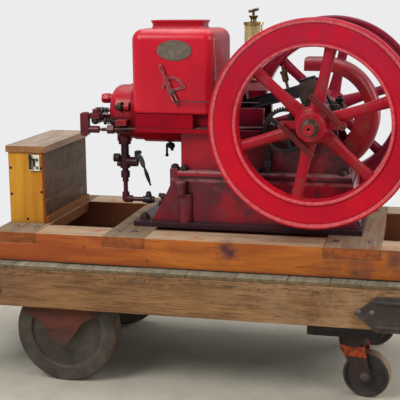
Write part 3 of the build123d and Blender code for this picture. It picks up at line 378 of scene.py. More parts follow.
def on_crank_axis(f, radius, from_y):
    """1 within a radius of the crank's axis, beyond a distance from the middle of the engine."""
    beyond = f.span(f.math("ABSOLUTE", f.at("Y")), from_y, from_y + 0.002)
    return f.both(round_crank(f, radius, 0.12, 0.1), beyond)


def bead(f, low, high):
    """1 on the ring of a flywheel between two radii."""
    outer, inner = (round_crank(f, radius, 0.012, 0.004) for radius in (high, low))
    return f.math("MAXIMUM", f.math("SUBTRACT", outer, inner), 0.0)


def wheel_details(f):
    """Darker spokes, painted highlights along the rim's beads, a painted reflection over the top of the wheel and the
    browned hub face.
    """
    spokes = round_crank(f, spoke_reach, 0.03, 0.01)
    f.lay(spokes, (0.30, 0.008, 0.020), 0.8)
    f.lay(f.both(spokes, f.cloud(0.46, 0.66, 26.0, 6, 0.65, seed=8.0)), (0.15, 0.050, 0.032), 0.6)
    # Painted reflection over the top of the wheel
    crown = f.both(f.span(f.at("Z"), 0.90, 1.14), f.cloud(0.20, 0.6, 18.0, 5, seed=4.0))
    f.lay(crown, (0.33, 0.014, 0.040), 0.7)
    # Painted highlights along the rim's beads
    pale = f.math("MAXIMUM", *(bead(f, *radii) for radii in bead_highlight_radii))
    f.lay(f.both(pale, f.cloud(0.05, 0.75, 110.0, 4, seed=3.0)), (0.72, 0.21, 0.22), 0.6)
    f.lay(on_crank_axis(f, 0.029, 0.366), (0.085, 0.040, 0.022), 0.9)


def hopper_side_shade(f):
    """Painted shade on the hopper's crank side, greyed as a painted dull reflection."""
    # Painted shade and painted reflection on faces that look towards the crank
    f.lay(f.span(f.axis("X"), 0.5, 0.9), (0.24, 0.020, 0.030), 0.75)


def head_darker_low(f):
    """The head's paint darker towards the bottom, where the mixer hangs."""
    height = f.math("ADD", f.at("Z"), f.both(f.noise(22.0, 5, seed=1.6), 0.05))
    f.lay(f.span(height, 0.898, 0.862), (0.090, 0.008, 0.012), 0.85)


def crank_end_painted_shade(f):
    """Painted shade over the cylinder's crank end."""
    f.lay(f.span(f.at("X"), 0.150, 0.170), (0.075, 0.004, 0.011), 0.9)


def pale_line(f, low, high, seed, colour):
    """A pale worn line between two heights."""
    height = f.at("Z")
    band = f.both(f.span(height, low, low + 0.004), f.span(height, high, high - 0.003))
    f.lay(f.both(band, f.cloud(0.3, 0.55, 20.0, 5, seed=seed)), colour, 0.6)


def bed_stains_and_shadow(f):
    """Black oil and grey smudges over the bed's walls near the gears, and a painted shadow along its foot under a pale
    line.
    """
    along = f.span(f.at("X"), 0.07, 0.17)
    f.lay(f.both(along, f.cloud(0.30, 0.52, 13.0, 6, 0.7, seed=6.6)), (0.045, 0.012, 0.018), 0.85)
    f.lay(f.both(along, f.cloud(0.56, 0.72, 21.0, 6, 0.7, seed=9.1)), (0.075, 0.075, 0.070), 0.55)
    pale_line(f, 0.689, 0.702, 2.4, (0.36, 0.17, 0.18))
    # Painted shadow: a near-black band along the bed's lowest edge
    f.lay(f.span(f.at("Z"), 0.684, 0.681), (0.020, 0.010, 0.014), 0.9)


def base_stains(f):
    """Brighter red where the tank was wiped, grey smudges, redder paint on its end and black along its foot."""
    wiped = f.both(f.span(f.at("X"), 0.03, 0.15), f.cloud(0.42, 0.6, 11.0, 5, 0.6, seed=1.9))
    f.lay(wiped, (0.36, 0.008, 0.020), 0.75)
    f.lay(f.cloud(0.5, 0.68, 24.0, 6, 0.7, seed=5.2), (0.060, 0.055, 0.052), 0.45)
    end = f.both(f.span(f.at("X"), 0.06, -0.02), f.cloud(0.44, 0.62, 16.0, 6, 0.7, stretch=(1, 1, 0.35), seed=7.3))
    f.lay(end, (0.26, 0.020, 0.026), 0.6)
    pale_line(f, 0.660, 0.675, 4.4, (0.33, 0.13, 0.14))
    f.lay(f.span(f.at("Z"), 0.530, 0.522), (0.030, 0.018, 0.022), 0.9)


def shaft_ends(f):
    """Red paint on the ends of the shaft, and painted shade for a centre hole."""
    f.lay(f.both(on_crank_axis(f, 0.0175, 0.410), f.towards("Y")), (0.42, 0.012, 0.020))
    # Painted shade standing in for the centre hole
    f.lay(on_crank_axis(f, 0.0042, 0.40), (0.012, 0.008, 0.008))


def skid_marks_and_painted_shade(f):
    """Redder to the left, darker to the right, dark streaks, a painted shadow at the foot and painted shade on the
    inner faces.
    """
    side = f.towards("Y")
    f.lay(f.both(f.span(f.at("X"), 0.05, -0.45), side), (0.27, 0.040, 0.010), 0.65)
    right = f.both(f.span(f.at("X"), 0.35, 0.60), f.cloud(0.35, 0.6, 14.0, 5, seed=3.7))
    f.lay(f.both(right, side), (0.15, 0.050, 0.024), 0.8)
    streak = f.cloud(0.54, 0.66, 120.0, 5, 0.7, stretch=(0.03, 1, 1), seed=6.4, twist=1.0)
    f.lay(f.both(streak, side), (0.16, 0.026, 0.008), 0.6)
    # Painted shadow along the foot of the timbers
    f.lay(f.both(f.span(f.at("Z"), 0.430, 0.408), side), (0.22, 0.040, 0.008), 0.5)
    f.lay(f.span(f.at("Z"), 0.4135, 0.4105), (0.016, 0.008, 0.005), 0.92)
    # Painted shade on the faces between the timbers
    f.lay(f.span(f.math("ABSOLUTE", f.at("Y")), 0.215, 0.205), (0.11, 0.032, 0.010), 0.85)


def sill_marks(f):
    """Weathered side rails: fine cracks, worn pale stretches and a dark reddish end."""
    f.lay(f.cloud(0.48, 0.66, 60.0, 6, 0.7, stretch=(0.10, 1, 1), seed=2.9, twist=0.6), (0.40, 0.195, 0.070), 0.5)
    right = f.both(f.span(f.at("X"), 0.05, 0.50), f.cloud(0.3, 0.6, 11.0, 5))
    f.lay(right, (0.42, 0.255, 0.135), 0.65)
    f.lay(f.span(f.at("X"), -0.35, -0.65), (0.15, 0.075, 0.050), 0.55)
    crack = f.cloud(0.50, 0.60, 210.0, 5, 0.8, stretch=(0.045, 1, 1), seed=8.3, twist=1.0)
    f.lay(crack, (0.085, 0.038, 0.016), 0.75)
    worn = f.both(f.cloud(0.50, 0.62, 70.0, 5, 0.75, stretch=(0.4, 1, 1), seed=5.1), f.span(f.at("Z"), 0.345, 0.375))
    f.lay(worn, (0.075, 0.055, 0.035), 0.8)


def plank_outline(f):
    """The darker, redder ends and sides of the cross planks."""
    f.lay(f.both(f.towards("Y"), f.cloud(0.4, 0.65, 40.0, 5, 0.65, stretch=(0.3, 1, 1))), (0.17, 0.050, 0.022), 0.7)
    f.lay(f.towards("X"), (0.15, 0.060, 0.024), 0.8)


def box_finish():
    """The battery box: varnished ochre ends, long sides gone dark and scratched, and painted shade in its corners."""
    f = Finish("box_wood", roughness=0.5, Coat_Weight=0.02, Coat_Roughness=0.2, Specular_IOR_Level=0.05)
    grain = f.noise(70.0, 5, 0.6, stretch=(1, 1, 0.05), seed=2.5, twist=0.4)
    f.tone = f.mix(f.cloud(0.32, 0.68, 9.0, 5, stretch=(1, 1, 0.25)), (0.56, 0.265, 0.030), (0.42, 0.165, 0.018))
    f.lay(f.span(grain, 0.46, 0.68), (0.36, 0.13, 0.014), 0.4)
    f.lay(f.span(f.at("X"), -0.5005, -0.4985), (0.16, 0.018, 0.012), 0.85)
    f.lay(f.both(f.edges(0.005), f.cloud(0.35, 0.6, 25.0, 4)), (0.33, 0.10, 0.02), 0.5)
    along = f.cloud(0.30, 0.72, 45.0, 5, 0.65, stretch=(1, 0.10, 1), seed=7.7, twist=0.6)
    side = f.mix(along, (0.140, 0.074, 0.036), (0.070, 0.042, 0.025))
    side = f.over(f.cloud(0.44, 0.62, 12.0, 7, 0.75, stretch=(1, 1, 0.7), seed=3.3), side, (0.11, 0.080, 0.048), 0.7)
    side = f.over(f.cloud(0.50, 0.66, 17.0, 7, 0.75, seed=8.8), side, (0.030, 0.018, 0.012), 0.6)
    scratch = f.cloud(0.64, 0.72, 150.0, 2, 0.6, stretch=(1, 0.05, 0.5), seed=1.1, twist=0.3)
    side = f.over(scratch, side, (0.24, 0.18, 0.14), 0.5)
    side = f.over(f.span(f.at("Z"), 0.5325, 0.530), side, (0.22, 0.105, 0.045), 0.9)
    f.lay(f.towards("X"), side)
    # Painted shade where other surfaces stand close
    f.lay(f.hollows(0.03, 0.25, 0.9), (0.03, 0.022, 0.017), 0.6)
    f.gloss(f.noise(50.0, 4), 0.35, 0.6)
    f.bump(grain, 0.25, 0.0012)
    return f.done()


def bracket_finish():
    """Faded red paint on the wheel brackets, worn to grey iron at their tips."""
    f = Finish("rust_red", roughness=0.75, Specular_IOR_Level=0.2)
    f.tone = f.mix(f.cloud(0.4, 0.66, 22.0, 6, 0.7, stretch=(0.4, 1, 1.5)), (0.125, 0.036, 0.022),
                   (0.050, 0.026, 0.018))
    height = f.math("ADD", f.at("Z"), f.both(f.noise(30.0, 3), 0.04))
    f.lay(f.span(height, 0.200, 0.160), (0.060, 0.040, 0.034), 0.8)
    f.bump(f.noise(150.0, 3), 0.2, 0.0008)
    return f.done()


def fork_finish():
    """Chipped orange paint on the fork's crown, and greasy black legs."""
    f = Finish("orange_paint", roughness=0.55, Specular_IOR_Level=0.3)
    f.tone = f.mix(f.cloud(0.45, 0.62, 60.0, 5, 0.7), (0.52, 0.070, 0.012), (0.16, 0.030, 0.012))
    f.lay(f.cloud(0.5, 0.7, 26.0, 5, 0.65, seed=2.0), (0.030, 0.022, 0.020), 0.8)
    height = f.math("ADD", f.at("Z"), f.both(f.noise(40.0, 3), 0.02))
    f.lay(f.span(height, 0.154, 0.146), (0.026, 0.020, 0.018), 0.95)
    f.lay(f.span(f.at("Z"), 0.172, 0.176), (0.020, 0.016, 0.015), 0.95)
    f.gloss(f.noise(60.0, 3), 0.4, 0.75)
    f.bump(f.noise(150.0, 3), 0.2, 0.0007)
    return f.done()


def wheel_iron(name, side, tread, ring_radius, middles):
    """Dark cast wheels whose treads are worn to another tone."""
    f = Finish(name, roughness=0.6, metallic=0.2, Specular_IOR_Level=0.3)
    f.tone = f.mix(f.cloud(0.4, 0.7, 14.0, 5, 0.6), side, times(1.8, side))
    f.lay(f.cloud(0.5, 0.72, 30.0, 6, 0.7, seed=5.0), (0.10, 0.050, 0.028), 0.3)
    inside = f.math("ADD", *(f.spot(middle, (ring_radius, 0.09, ring_radius), 0.03, 0.02) for middle in middles))
    rim = f.math("MAXIMUM", f.math("SUBTRACT", 1.0, inside), 0.0)
    worn = f.mix(f.cloud(0.35, 0.65, 26.0, 5), tread, times(0.55, tread))
    f.lay(f.both(rim, f.span(f.towards("Y"), 0.9, 0.3)), worn)
    f.lay(f.edges(0.004), times(3.0, side), 0.4)
    f.gloss(f.noise(40.0, 3), 0.45, 0.8)
    f.bump(f.noise(120.0, 4), 0.3, 0.001)
    return f.done()


# The middle and the half size of each knot in the skid's timbers
knots = (((0.166, -0.33, 0.486), (0.017, 0.03, 0.020)), ((0.183, -0.33, 0.472), (0.021, 0.03, 0.018)),
         ((-0.304, -0.33, 0.466), (0.004, 0.03, 0.005)), ((-0.090, -0.33, 0.432), (0.005, 0.03, 0.004)),
         ((-0.176, -0.33, 0.478), (0.004, 0.03, 0.004)), ((0.575, -0.33, 0.428), (0.009, 0.03, 0.007)),
         ((0.694, -0.33, 0.478), (0.012, 0.03, 0.016)), ((0.33, 0.33, 0.455), (0.012, 0.03, 0.011)),
         ((-0.46, 0.33, 0.470), (0.013, 0.03, 0.010)))

# An enamel's numbers are its wear, its painted corner shade and its patches; an iron's number is its roughness
finishes = {
    "hopper": enamel("hopper_enamel", (0.58, 0.008, 0.023), (0.46, 0.004, 0.018), (0.36, 0.08, 0.07), 0.35, 0.45, 0.12,
                     dust=0.25, extra=hopper_side_shade),
    "jacket": enamel("jacket_enamel", (0.36, 0.004, 0.014), (0.22, 0.004, 0.014), (0.22, 0.04, 0.04), 0.4, 0.6, 0.2,
                     dust=0.1, extra=crank_end_painted_shade, shine=0.15),
    "bed": enamel("bed_enamel", (0.47, 0.005, 0.016), (0.24, 0.005, 0.014), (0.17, 0.05, 0.045), 0.5, 0.6, 0.35,
                  dust=0.35, extra=bed_stains_and_shadow),
    # The far flywheel's enamel is the near one's, painted darker as painted shade
    "far_wheel_shaded": enamel("far_wheel_shaded_enamel", (0.24, 0.008, 0.024), (0.14, 0.006, 0.020), (0.16, 0.05, 0.05),
                        0.5, 0.4, 0.3, shine=0.6),
    "weights": enamel("weight_enamel", (0.17, 0.012, 0.014), (0.075, 0.010, 0.012), (0.22, 0.09, 0.06),
                      0.9, 0.5, 0.5, shine=0.7),
    "lever": enamel("lever_enamel", (0.40, 0.040, 0.045), (0.16, 0.012, 0.018), (0.62, 0.30, 0.28), 1.0, 0.5, 0.35),
    "head": enamel("head_enamel", (0.46, 0.005, 0.016), (0.29, 0.005, 0.014), (0.28, 0.09, 0.06), 0.6, 0.7, 0.3,
                   dust=0.15, extra=head_darker_low, shine=0.9),
    "casting": enamel("casting_enamel", (0.40, 0.006, 0.017), (0.22, 0.006, 0.015), (0.20, 0.085, 0.060),
                      0.5, 0.7, 0.3, dust=0.45),
    "wheel": enamel("wheel_enamel", (0.58, 0.004, 0.018), (0.42, 0.004, 0.018), (0.34, 0.08, 0.07), 0.6, 0.1, 0.2,
                    extra=wheel_details, shine=0.45),
    "guard": enamel("guard_enamel", (0.26, 0.008, 0.014), (0.14, 0.008, 0.012), (0.28, 0.10, 0.05), 0.7, 0.4, 0.6,
                    dust=0.1, shine=0.7),
    "small": enamel("small_enamel", (0.17, 0.009, 0.015), (0.06, 0.006, 0.010), (0.20, 0.10, 0.08), 0.7, 0.8, 0.5),
    "base": enamel("base_enamel", (0.17, 0.010, 0.022), (0.060, 0.014, 0.018), (0.10, 0.065, 0.060), 0.6, 0.8, 0.5,
                   (0.016, 0.010, 0.010), extra=base_stains),
    "pipe": enamel("pipe_enamel", (0.10, 0.010, 0.018), (0.030, 0.008, 0.012), (0.06, 0.035, 0.03), 0.5, 0.8, 0.6,
                   (0.010, 0.006, 0.007)),
    "black": oily_iron("black_iron", (0.012, 0.012, 0.014), (0.045, 0.040, 0.038), 0.32),
    "rod": oily_iron("dark_rod", (0.030, 0.020, 0.020), (0.085, 0.065, 0.062), 0.3, rust=0.3),
    "red_rod": oily_iron("red_rod", (0.040, 0.008, 0.010), (0.085, 0.028, 0.032), 0.3),
    "blued": oily_iron("blued_iron", (0.010, 0.011, 0.014), (0.030, 0.031, 0.036), 0.28, rust=0.0),
    "nuts": oily_iron("nut_iron", (0.16, 0.13, 0.11), (0.07, 0.055, 0.050), 0.4, rust=0.5),
    "dark_nuts": oily_iron("dark_nuts", (0.060, 0.034, 0.030), (0.030, 0.016, 0.016), 0.4, rust=0.4),
    "cart_iron": oily_iron("cart_iron", (0.046, 0.036, 0.032), (0.095, 0.078, 0.068), 0.45, rust=0.3),
    "channel": oily_iron("channel_iron", (0.026, 0.021, 0.020), (0.045, 0.036, 0.034), 0.5),
    "shaft": turned_steel("shaft_steel", 0.6, (0.10, 0.075, 0.06), (0.035, 0.024, 0.020), shaft_ends),
    "steel": turned_steel("worn_steel", 1.0, (0.42, 0.38, 0.33), (0.17, 0.12, 0.08)),
    "brass": old_brass("old_brass", (0.50, 0.37, 0.15), (0.10, 0.075, 0.035)),
    "bronze": old_brass("old_bronze", (0.20, 0.11, 0.06), (0.045, 0.025, 0.018)),
    "sooty_brass": old_brass("sooty_brass", (0.10, 0.085, 0.045), (0.018, 0.016, 0.012)),
    "glass": oily_glass("oiler_glass"),
    "boards": timber("deck_wood", (0.24, 0.20, 0.135), (0.13, 0.105, 0.070), top=(0.30, 0.275, 0.20), along="Y",
                     rough=0.8, dirty=0.5, edge=(0.30, 0.25, 0.15), ends=(0.205, 0.145, 0.075), toned=True, shine=0.1),
    "sill": timber("sill_wood", (0.32, 0.165, 0.070), (0.17, 0.085, 0.038), rough=0.7, dirty=0.15,
                   edge=(0.42, 0.27, 0.12), edge_share=0.4, streaks=1.5, seed=1.7, extra=sill_marks, shine=0.15),
    "skid": timber("skid_wood", (0.54, 0.160, 0.014), (0.30, 0.062, 0.008), top=(0.50, 0.35, 0.22), rough=0.45,
                   coat=0.08, edge=(0.55, 0.30, 0.14), edge_share=0.6, dirty=0.15, streaks=0.7, knots=knots,
                   extra=skid_marks_and_painted_shade),
    "plank": timber("plank_wood", (0.40, 0.105, 0.020), (0.20, 0.045, 0.014), top=(0.275, 0.195, 0.125), along="Y",
                    rough=0.6, seed=4.2, ends=(0.34, 0.095, 0.025), edge=(0.10, 0.035, 0.015), edge_share=0.7,
                    extra=plank_outline, shine=0.12),
    "lid": timber("lid_wood", (0.36, 0.165, 0.045), (0.20, 0.085, 0.030), top=(0.43, 0.32, 0.225), along="Y",
                  rough=0.45, coat=0.2, dirty=0.25, edge=(0.26, 0.08, 0.03), edge_share=0.6, seed=6.1),
    "box": box_finish(),
    "wheel_iron": wheel_iron("wheel_iron", (0.053, 0.045, 0.035), (0.150, 0.100, 0.066), 0.132, wheel_middles),
    "caster": wheel_iron("caster_wheel", (0.030, 0.027, 0.026), (0.26, 0.17, 0.10), 0.070, caster_middles),
    "rust_red": bracket_finish(),
    "orange": fork_finish(),
    "porcelain": plain("porcelain", (0.80, 0.77, 0.70), (0.55, 0.50, 0.42), 0.25),
    "plate": plain("plate_metal", (0.120, 0.095, 0.070), (0.200, 0.150, 0.110), 0.45, 0.4, 60.0),
}

node_finishes = {
    "hopper": ["water_hopper"],
    "jacket": ["cylinder"],
    "head": ["cylinder_head"],
    "casting": ["bearing_caps"],
    "bed": ["engine_bed"],
    "wheel": ["flywheel_near"],
    "far_wheel_shaded": ["flywheel_far"],
    "weights": ["governor_weight_right", "governor_weight_left"],
    "guard": ["crank_guard"],
    "small": ["rocker_arm"],
    "lever": ["speed_lever", "speed_quadrant"],
    "base": ["sub_base", "fuel_filler"],
    "pipe": ["mixer", "fuel_line"],
    "blued": ["connecting_rod", "crank_pin"],
    "black": ["crank_pinion", "cam_gear", "drain_cock", "choke_flap", "rocker_shaft", "fuel_pump", "fuel_cock"],
    "red_rod": ["push_rod"],
    "rod": ["speed_link", "exhaust_valve"],
    "shaft": ["crankshaft"],
    "steel": ["piston"],
    "brass": ["cylinder_oiler"],
    "bronze": ["rod_oiler"],
    "glass": ["oiler_glass"],
    "boards": ["cart_deck"],
    "sill": ["cart_frame"],
    "skid": ["skid_timber_near", "skid_timber_far"],
    "plank": ["skid_planks"],
    "box": ["battery_box"],
    "lid": ["box_lid"],
    "cart_iron": ["corner_irons"],
    "channel": ["caster_plates"],
    "wheel_iron": ["big_wheel_near", "big_wheel_far"],
    "rust_red": ["wheel_brackets"],
    "orange": ["caster_fork_near", "caster_fork_far"],
    "caster": ["caster_wheel_near", "caster_wheel_far"],
    "porcelain": ["knife_switch"],
    "plate": ["name_plate"],
}
fine_nodes = ("crank_pinion", "cam_gear", "speed_link", "speed_lever", "speed_quadrant", "name_plate",
              "cylinder_oiler", "oiler_glass", "rod_oiler", "choke_flap")
edge_width = {"box_lid": 0.007, "skid_timber_near": 0.003, "skid_timber_far": 0.003, "skid_planks": 0.003}


def soften(piece, width, welded=False):
    """Round the edges of a piece a little and shade it smooth."""
    if welded:
        weld = piece.modifiers.new("weld", "WELD")
        weld.merge_threshold = weld_reach
    bevel = piece.modifiers.new("bevel", "BEVEL")
    bevel.width = width
    bevel.segments = 2
    bevel.limit_method = "ANGLE"
    bevel.angle_limit = radians(38)
    bevel.miter_outer = "MITER_ARC"
    piece.data.shade_smooth()
    shade = piece.modifiers.new("shade", "WEIGHTED_NORMAL")
    shade.weight = 60


def dress_nodes():
    """Give every node of the model its finish and softened edges."""
    for finish, names in node_finishes.items():
        for name in names:
            node = nodes[name]
            node.data.materials.clear()
            node.data.materials.append(finishes[finish])
            with bpy.context.temp_override(object=node, active_object=node, selected_objects=[node]):
                bpy.ops.mesh.customdata_custom_splitnormals_clear()
            soften(node, fine_edge if name in fine_nodes else edge_width.get(name, edge_round), welded=True)


def axes(axis):
    """A direction and two others square to it, all of length one."""
    along = Vector(axis).normalized()
    across = along.orthogonal().normalized()
    return along, across, along.cross(across)


class Shape:
    """A mesh while it is put together, in metres."""

    def __init__(self):
        self.mesh = bmesh.new()
        self.tone = self.mesh.faces.layers.float.new("tone")

    def skin(self, rings, shade=0.5, caps=True):
        """Join rings of points; a ring of one point closes to a tip."""
        made = []
        for low, high in zip(rings, rings[1:]):
            for k in range(max(len(low), len(high))):
                around = [low[k % len(low)], low[(k + 1) % len(low)],
                          high[(k + 1) % len(high)], high[k % len(high)]]
                made.append(self.mesh.faces.new(list(dict.fromkeys(around))))
        if caps:
            for ring in (rings[0], rings[-1]):
                if len(ring) > 2:
                    made.append(self.mesh.faces.new(ring))
        for face in made:
            face[self.tone] = shade

    def points(self, places):
        return [self.mesh.verts.new(place) for place in places]

    def ring(self, middle, across, other, radius, sides, turn=0.0):
        """The points of a circle."""
        angles = [turn + tau * k / sides for k in range(sides)]
        return self.points(middle + (across * cos(a) + other * sin(a)) * radius for a in angles)

    def block(self, low, high):
        """A block between two corners."""
        outline = ((low[0], low[1]), (high[0], low[1]), (high[0], high[1]), (low[0], high[1]))
        self.skin([self.points((x, y, z) for x, y in outline) for z in (low[2], high[2])])

    def turned(self, profile, place, axis=(0, 0, 1), sides=20, turn=0.0):
        """A profile of radii and distances turned round an axis through a place."""
        along, across, other = axes(axis)
        rings = []
        for radius, distance in profile:
            middle = Vector(place) + along * distance
            if radius == 0:
                rings.append(self.points([middle]))
            else:
                rings.append(self.ring(middle, across, other, radius, sides, turn))
        self.skin(rings)

    def rod(self, place, axis, radius, low, high, sides, tip=None, cut=0.0, turn=0.0):
        """A round or many-sided rod between two distances; tip is the radius left by the cut at its end."""
        profile = [(0, low), (radius, low), (radius, high - cut), (0, high)]
        if tip:
            profile.insert(3, (tip, high))
        self.turned(profile, place, axis, sides, turn)

    def tube(self, points, radius, sides):
        """A round bar along a row of points."""
        _, across, _ = axes(points[1] - points[0])
        rings = []
        for index, point in enumerate(points):
            before = points[max(index - 1, 0)]
            after = points[min(index + 1, len(points) - 1)]
            ahead = (after - before).normalized()
            across = (across - ahead * across.dot(ahead)).normalized()
            rings.append(self.ring(point, across, ahead.cross(across), radius, sides))
        self.skin(rings)

    def spring(self, start, end, radius, wire, turns, steps=14):
        """A coil spring between two points."""
        _, across, other = axes(end - start)
        points = []
        count = int(turns * steps)
        for k in range(count + 1):
            angle = tau * k / steps
            points.append(start.lerp(end, k / count) + (across * cos(angle) + other * sin(angle)) * radius)
        self.tube(points, wire, 7)

    def nut(self, place, axis, size, height=0.8, washer=True, end=0.35, turn=0.3):
        """A washer, a hexagon nut and the end of its stud; size is the stud's diameter."""
        seat = size * 0.14 if washer else 0.0
        if washer:
            self.rod(place, axis, size * 1.2, 0, seat, 18)
        top = seat + size * height
        self.rod(place, axis, size * 0.98, seat, top, 6, size * 0.84, size * 0.12, turn)
        self.rod(place, axis, size * 0.48, top, top + size * end, 12, size * 0.4, size * 0.08)

    def dome(self, place, axis, radius, height):
        """A round head, such as a coach bolt's."""
        self.turned([(0, 0), (radius, 0), (radius * 0.97, height * 0.35), (radius * 0.78, height * 0.75),
                     (radius * 0.45, height * 0.95), (0, height)], place, axis, 16)

    def data(self, name):
        """The finished mesh, its faces looking outwards."""
        bmesh.ops.recalc_face_normals(self.mesh, faces=self.mesh.faces)
        made = bpy.data.meshes.new(name)
        self.mesh.to_mesh(made)
        self.mesh.free()
        return made

    def piece(self, name, finish, body="root", slot="black_iron", replaced=(), bevel=0.0):
        """Close the mesh into a named piece that rides on a body."""
        made = placed(name, self.data(name))
        made.data.materials.append(finishes[finish])
        if bevel:
            soften(made, bevel)
        else:
            made.data.shade_smooth()
            made.data.set_sharp_from_angle(angle=radians(35))
        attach(made, body)
        if replaced:
            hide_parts(*replaced)
        return made


def make_deck():
    """The cart's side rails, cross beams and deck boards, each board with its own tone, and their nails."""
    low, high = corners("cart_deck")
    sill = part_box("cart_frame")[0][2]
    inner = high.y - 0.038
    ledge = high.z - 0.013
    board_foot = ledge + 0.0003
    beam_top = low.z - 0.0003
    beam_half = 0.045
    rails = Shape()
    for side in (-1, 1):
        near, far = sorted((side * inner, side * high.y))
        rails.block((low.x, near, sill), (high.x, far, ledge))
    for x in (-0.717, -0.608, -0.144, 0.570, 0.717):
        rails.block((x - beam_half, -inner, sill), (x + beam_half, inner, beam_top))
    for side in (-1, 1):
        near, far = sorted((side * 0.207, side * 0.253))
        rails.block((-0.563, near, sill), (-0.189, far, beam_top))
    rails.piece("cart_rails", "sill", slot="deck_wood", replaced=("cart_frame",), bevel=0.003)
    chance = random.Random(4)
    joints = (low.x, -0.533, -0.388, -0.290, -0.112, 0.049, 0.209, 0.370, 0.503, 0.597, high.x)
    boards = Shape()
    nails = Shape()
    under = inner - 0.001
    for left, right in zip(joints, joints[1:]):
        top = high.z - chance.uniform(0.0, 0.0015)
        gap = chance.uniform(0.0002, 0.0006)
        reach = high.y - chance.uniform(0.0, 0.002)
        shade = chance.random()
        outline = ((-under, low.z), (under, low.z), (under, board_foot), (reach, board_foot),
                   (reach, top), (-reach, top), (-reach, board_foot), (-under, board_foot))
        boards.skin([boards.points((x, y, z) for y, z in outline) for x in (left + gap, right - gap)], shade)
        for side in (-1, 1):
            for share in (0.25, 0.75):
                place = (left + (right - left) * share + chance.uniform(-0.006, 0.006),
                         side * (0.362 + chance.uniform(-0.004, 0.004)), top - 0.0005)
                nails.dome(place, (0, 0, 1), 0.0036, 0.0010)
    boards.piece("deck_boards", "boards", slot="deck_wood", replaced=("cart_deck",), bevel=0.0015)
    nails.piece("deck_nails", "nuts")


def make_planks():
    """The skid's three cross planks, the box plank cut back to the box's edge."""
    half_length = 0.3302
    planks = Shape()
    for left, right in ((-0.627, -0.473), (-0.242, -0.099), (0.475, 0.650)):
        planks.block((left, -half_length, plank_top - 0.036), (right, half_length, plank_top + 0.0002))
    planks.piece("cross_planks", "plank", slot="skid_wood", replaced=("skid_planks",), bevel=0.0015)


def open_cylinder():
    """The cylinder with its skirt open on both sides, so that the rod shows."""
    mesh = bmesh.new()
    mesh.from_mesh(nodes["cylinder"].data)
    bmesh.ops.remove_doubles(mesh, verts=mesh.verts, dist=weld_reach)
    data = bpy.data.meshes.new("open_cylinder")
    mesh.to_mesh(data)
    mesh.free()
    made = placed("open_cylinder", data)
    cutter = Shape()
    cutter.block((0.166, -0.2, 0.905), (0.260, 0.2, 0.962))
    tool = placed("window", cutter.data("window"))
    cut = made.modifiers.new("cut", "BOOLEAN")
    cut.operation = "DIFFERENCE"
    cut.solver = "EXACT"
    cut.object = tool
    bpy.context.view_layer.update()
    result = bpy.data.meshes.new_from_object(made.evaluated_get(bpy.context.evaluated_depsgraph_get()))
    made.modifiers.clear()
    made.data = result
    bpy.data.objects.remove(tool)
    result.materials.clear()
    result.materials.append(finishes["jacket"])
    soften(made, edge_round)
    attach(made, "root")
    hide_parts("cylinder")


def make_cart_fasteners():
    """Bolts of the corner irons and the caster channels, and the nuts of the casters' axles."""
    bolts = Shape()
    for sx in (-1, 1):
        for sy in (-1, 1):
            for x in (0.592, 0.632, 0.735):
                bolts.dome((sx * x, sy * 0.387, 0.3235), (0, sy, 0), 0.0085, 0.005)
    for sy in (-1, 1):
        for x in (0.452, 0.638):
            bolts.nut((x, sy * 0.206, 0.211), (0, 0, -1), 0.012, end=0.5)
    bolts.piece("cart_bolts", "nuts", slot="cart_iron")
    trail = 0.047
    half_axle = 0.038
    for name, pivot_y, turn in (("near", -0.241, radians(-8)), ("far", 0.241, radians(6))):
        pin = Vector((0.570, pivot_y, 0.076)) + Vector((cos(turn), sin(turn), 0)) * trail
        axis = Vector((-sin(turn), cos(turn), 0))
        ends = Shape()
        for way in (-1, 1):
            ends.nut(pin + axis * way * half_axle, axis * way, 0.012, 0.6, end=0.3)
        ends.piece(f"caster_nuts_{name}", "nuts", f"swivel_{name}", "cart_iron")


def make_skid_fasteners():
    """Coach bolts that hold the planks to the timbers, the nuts of the engine's feet and the tank's plug."""
    bolts = Shape()
    for sy in (-1, 1):
        for x in (-0.216, -0.156, 0.510, 0.618, -0.575, -0.502):
            bolts.dome((x, sy * 0.245, plank_top - 0.0005), (0, 0, 1), 0.0125, 0.006)
    bolts.piece("plank_bolts", "nuts", slot="cart_iron")
    feet = Shape()
    for sy in (-1, 1):
        for x in (-0.156, 0.566):
            feet.nut((x, sy * 0.118, 0.524), (0, 0, 1), 0.016)
    for sy in (-1, 1):
        feet.nut((-0.045, sy * 0.127, 0.707), (0, 0, 1), 0.013, 0.6, end=0.2)
        for x in (-0.012, 0.120, 0.236, 0.516):
            feet.nut((x, sy * 0.134, 0.699), (0, 0, 1), 0.013)
    feet.turned([(0, -0.006), (0.010, -0.006), (0.010, 0.006), (0.0072, 0.008), (0.0072, 0.016), (0, 0.017)],
                (-0.0895, -0.120, 0.604), (-1, 0, 0.35), 12)
    feet.piece("foot_nuts", "dark_nuts")


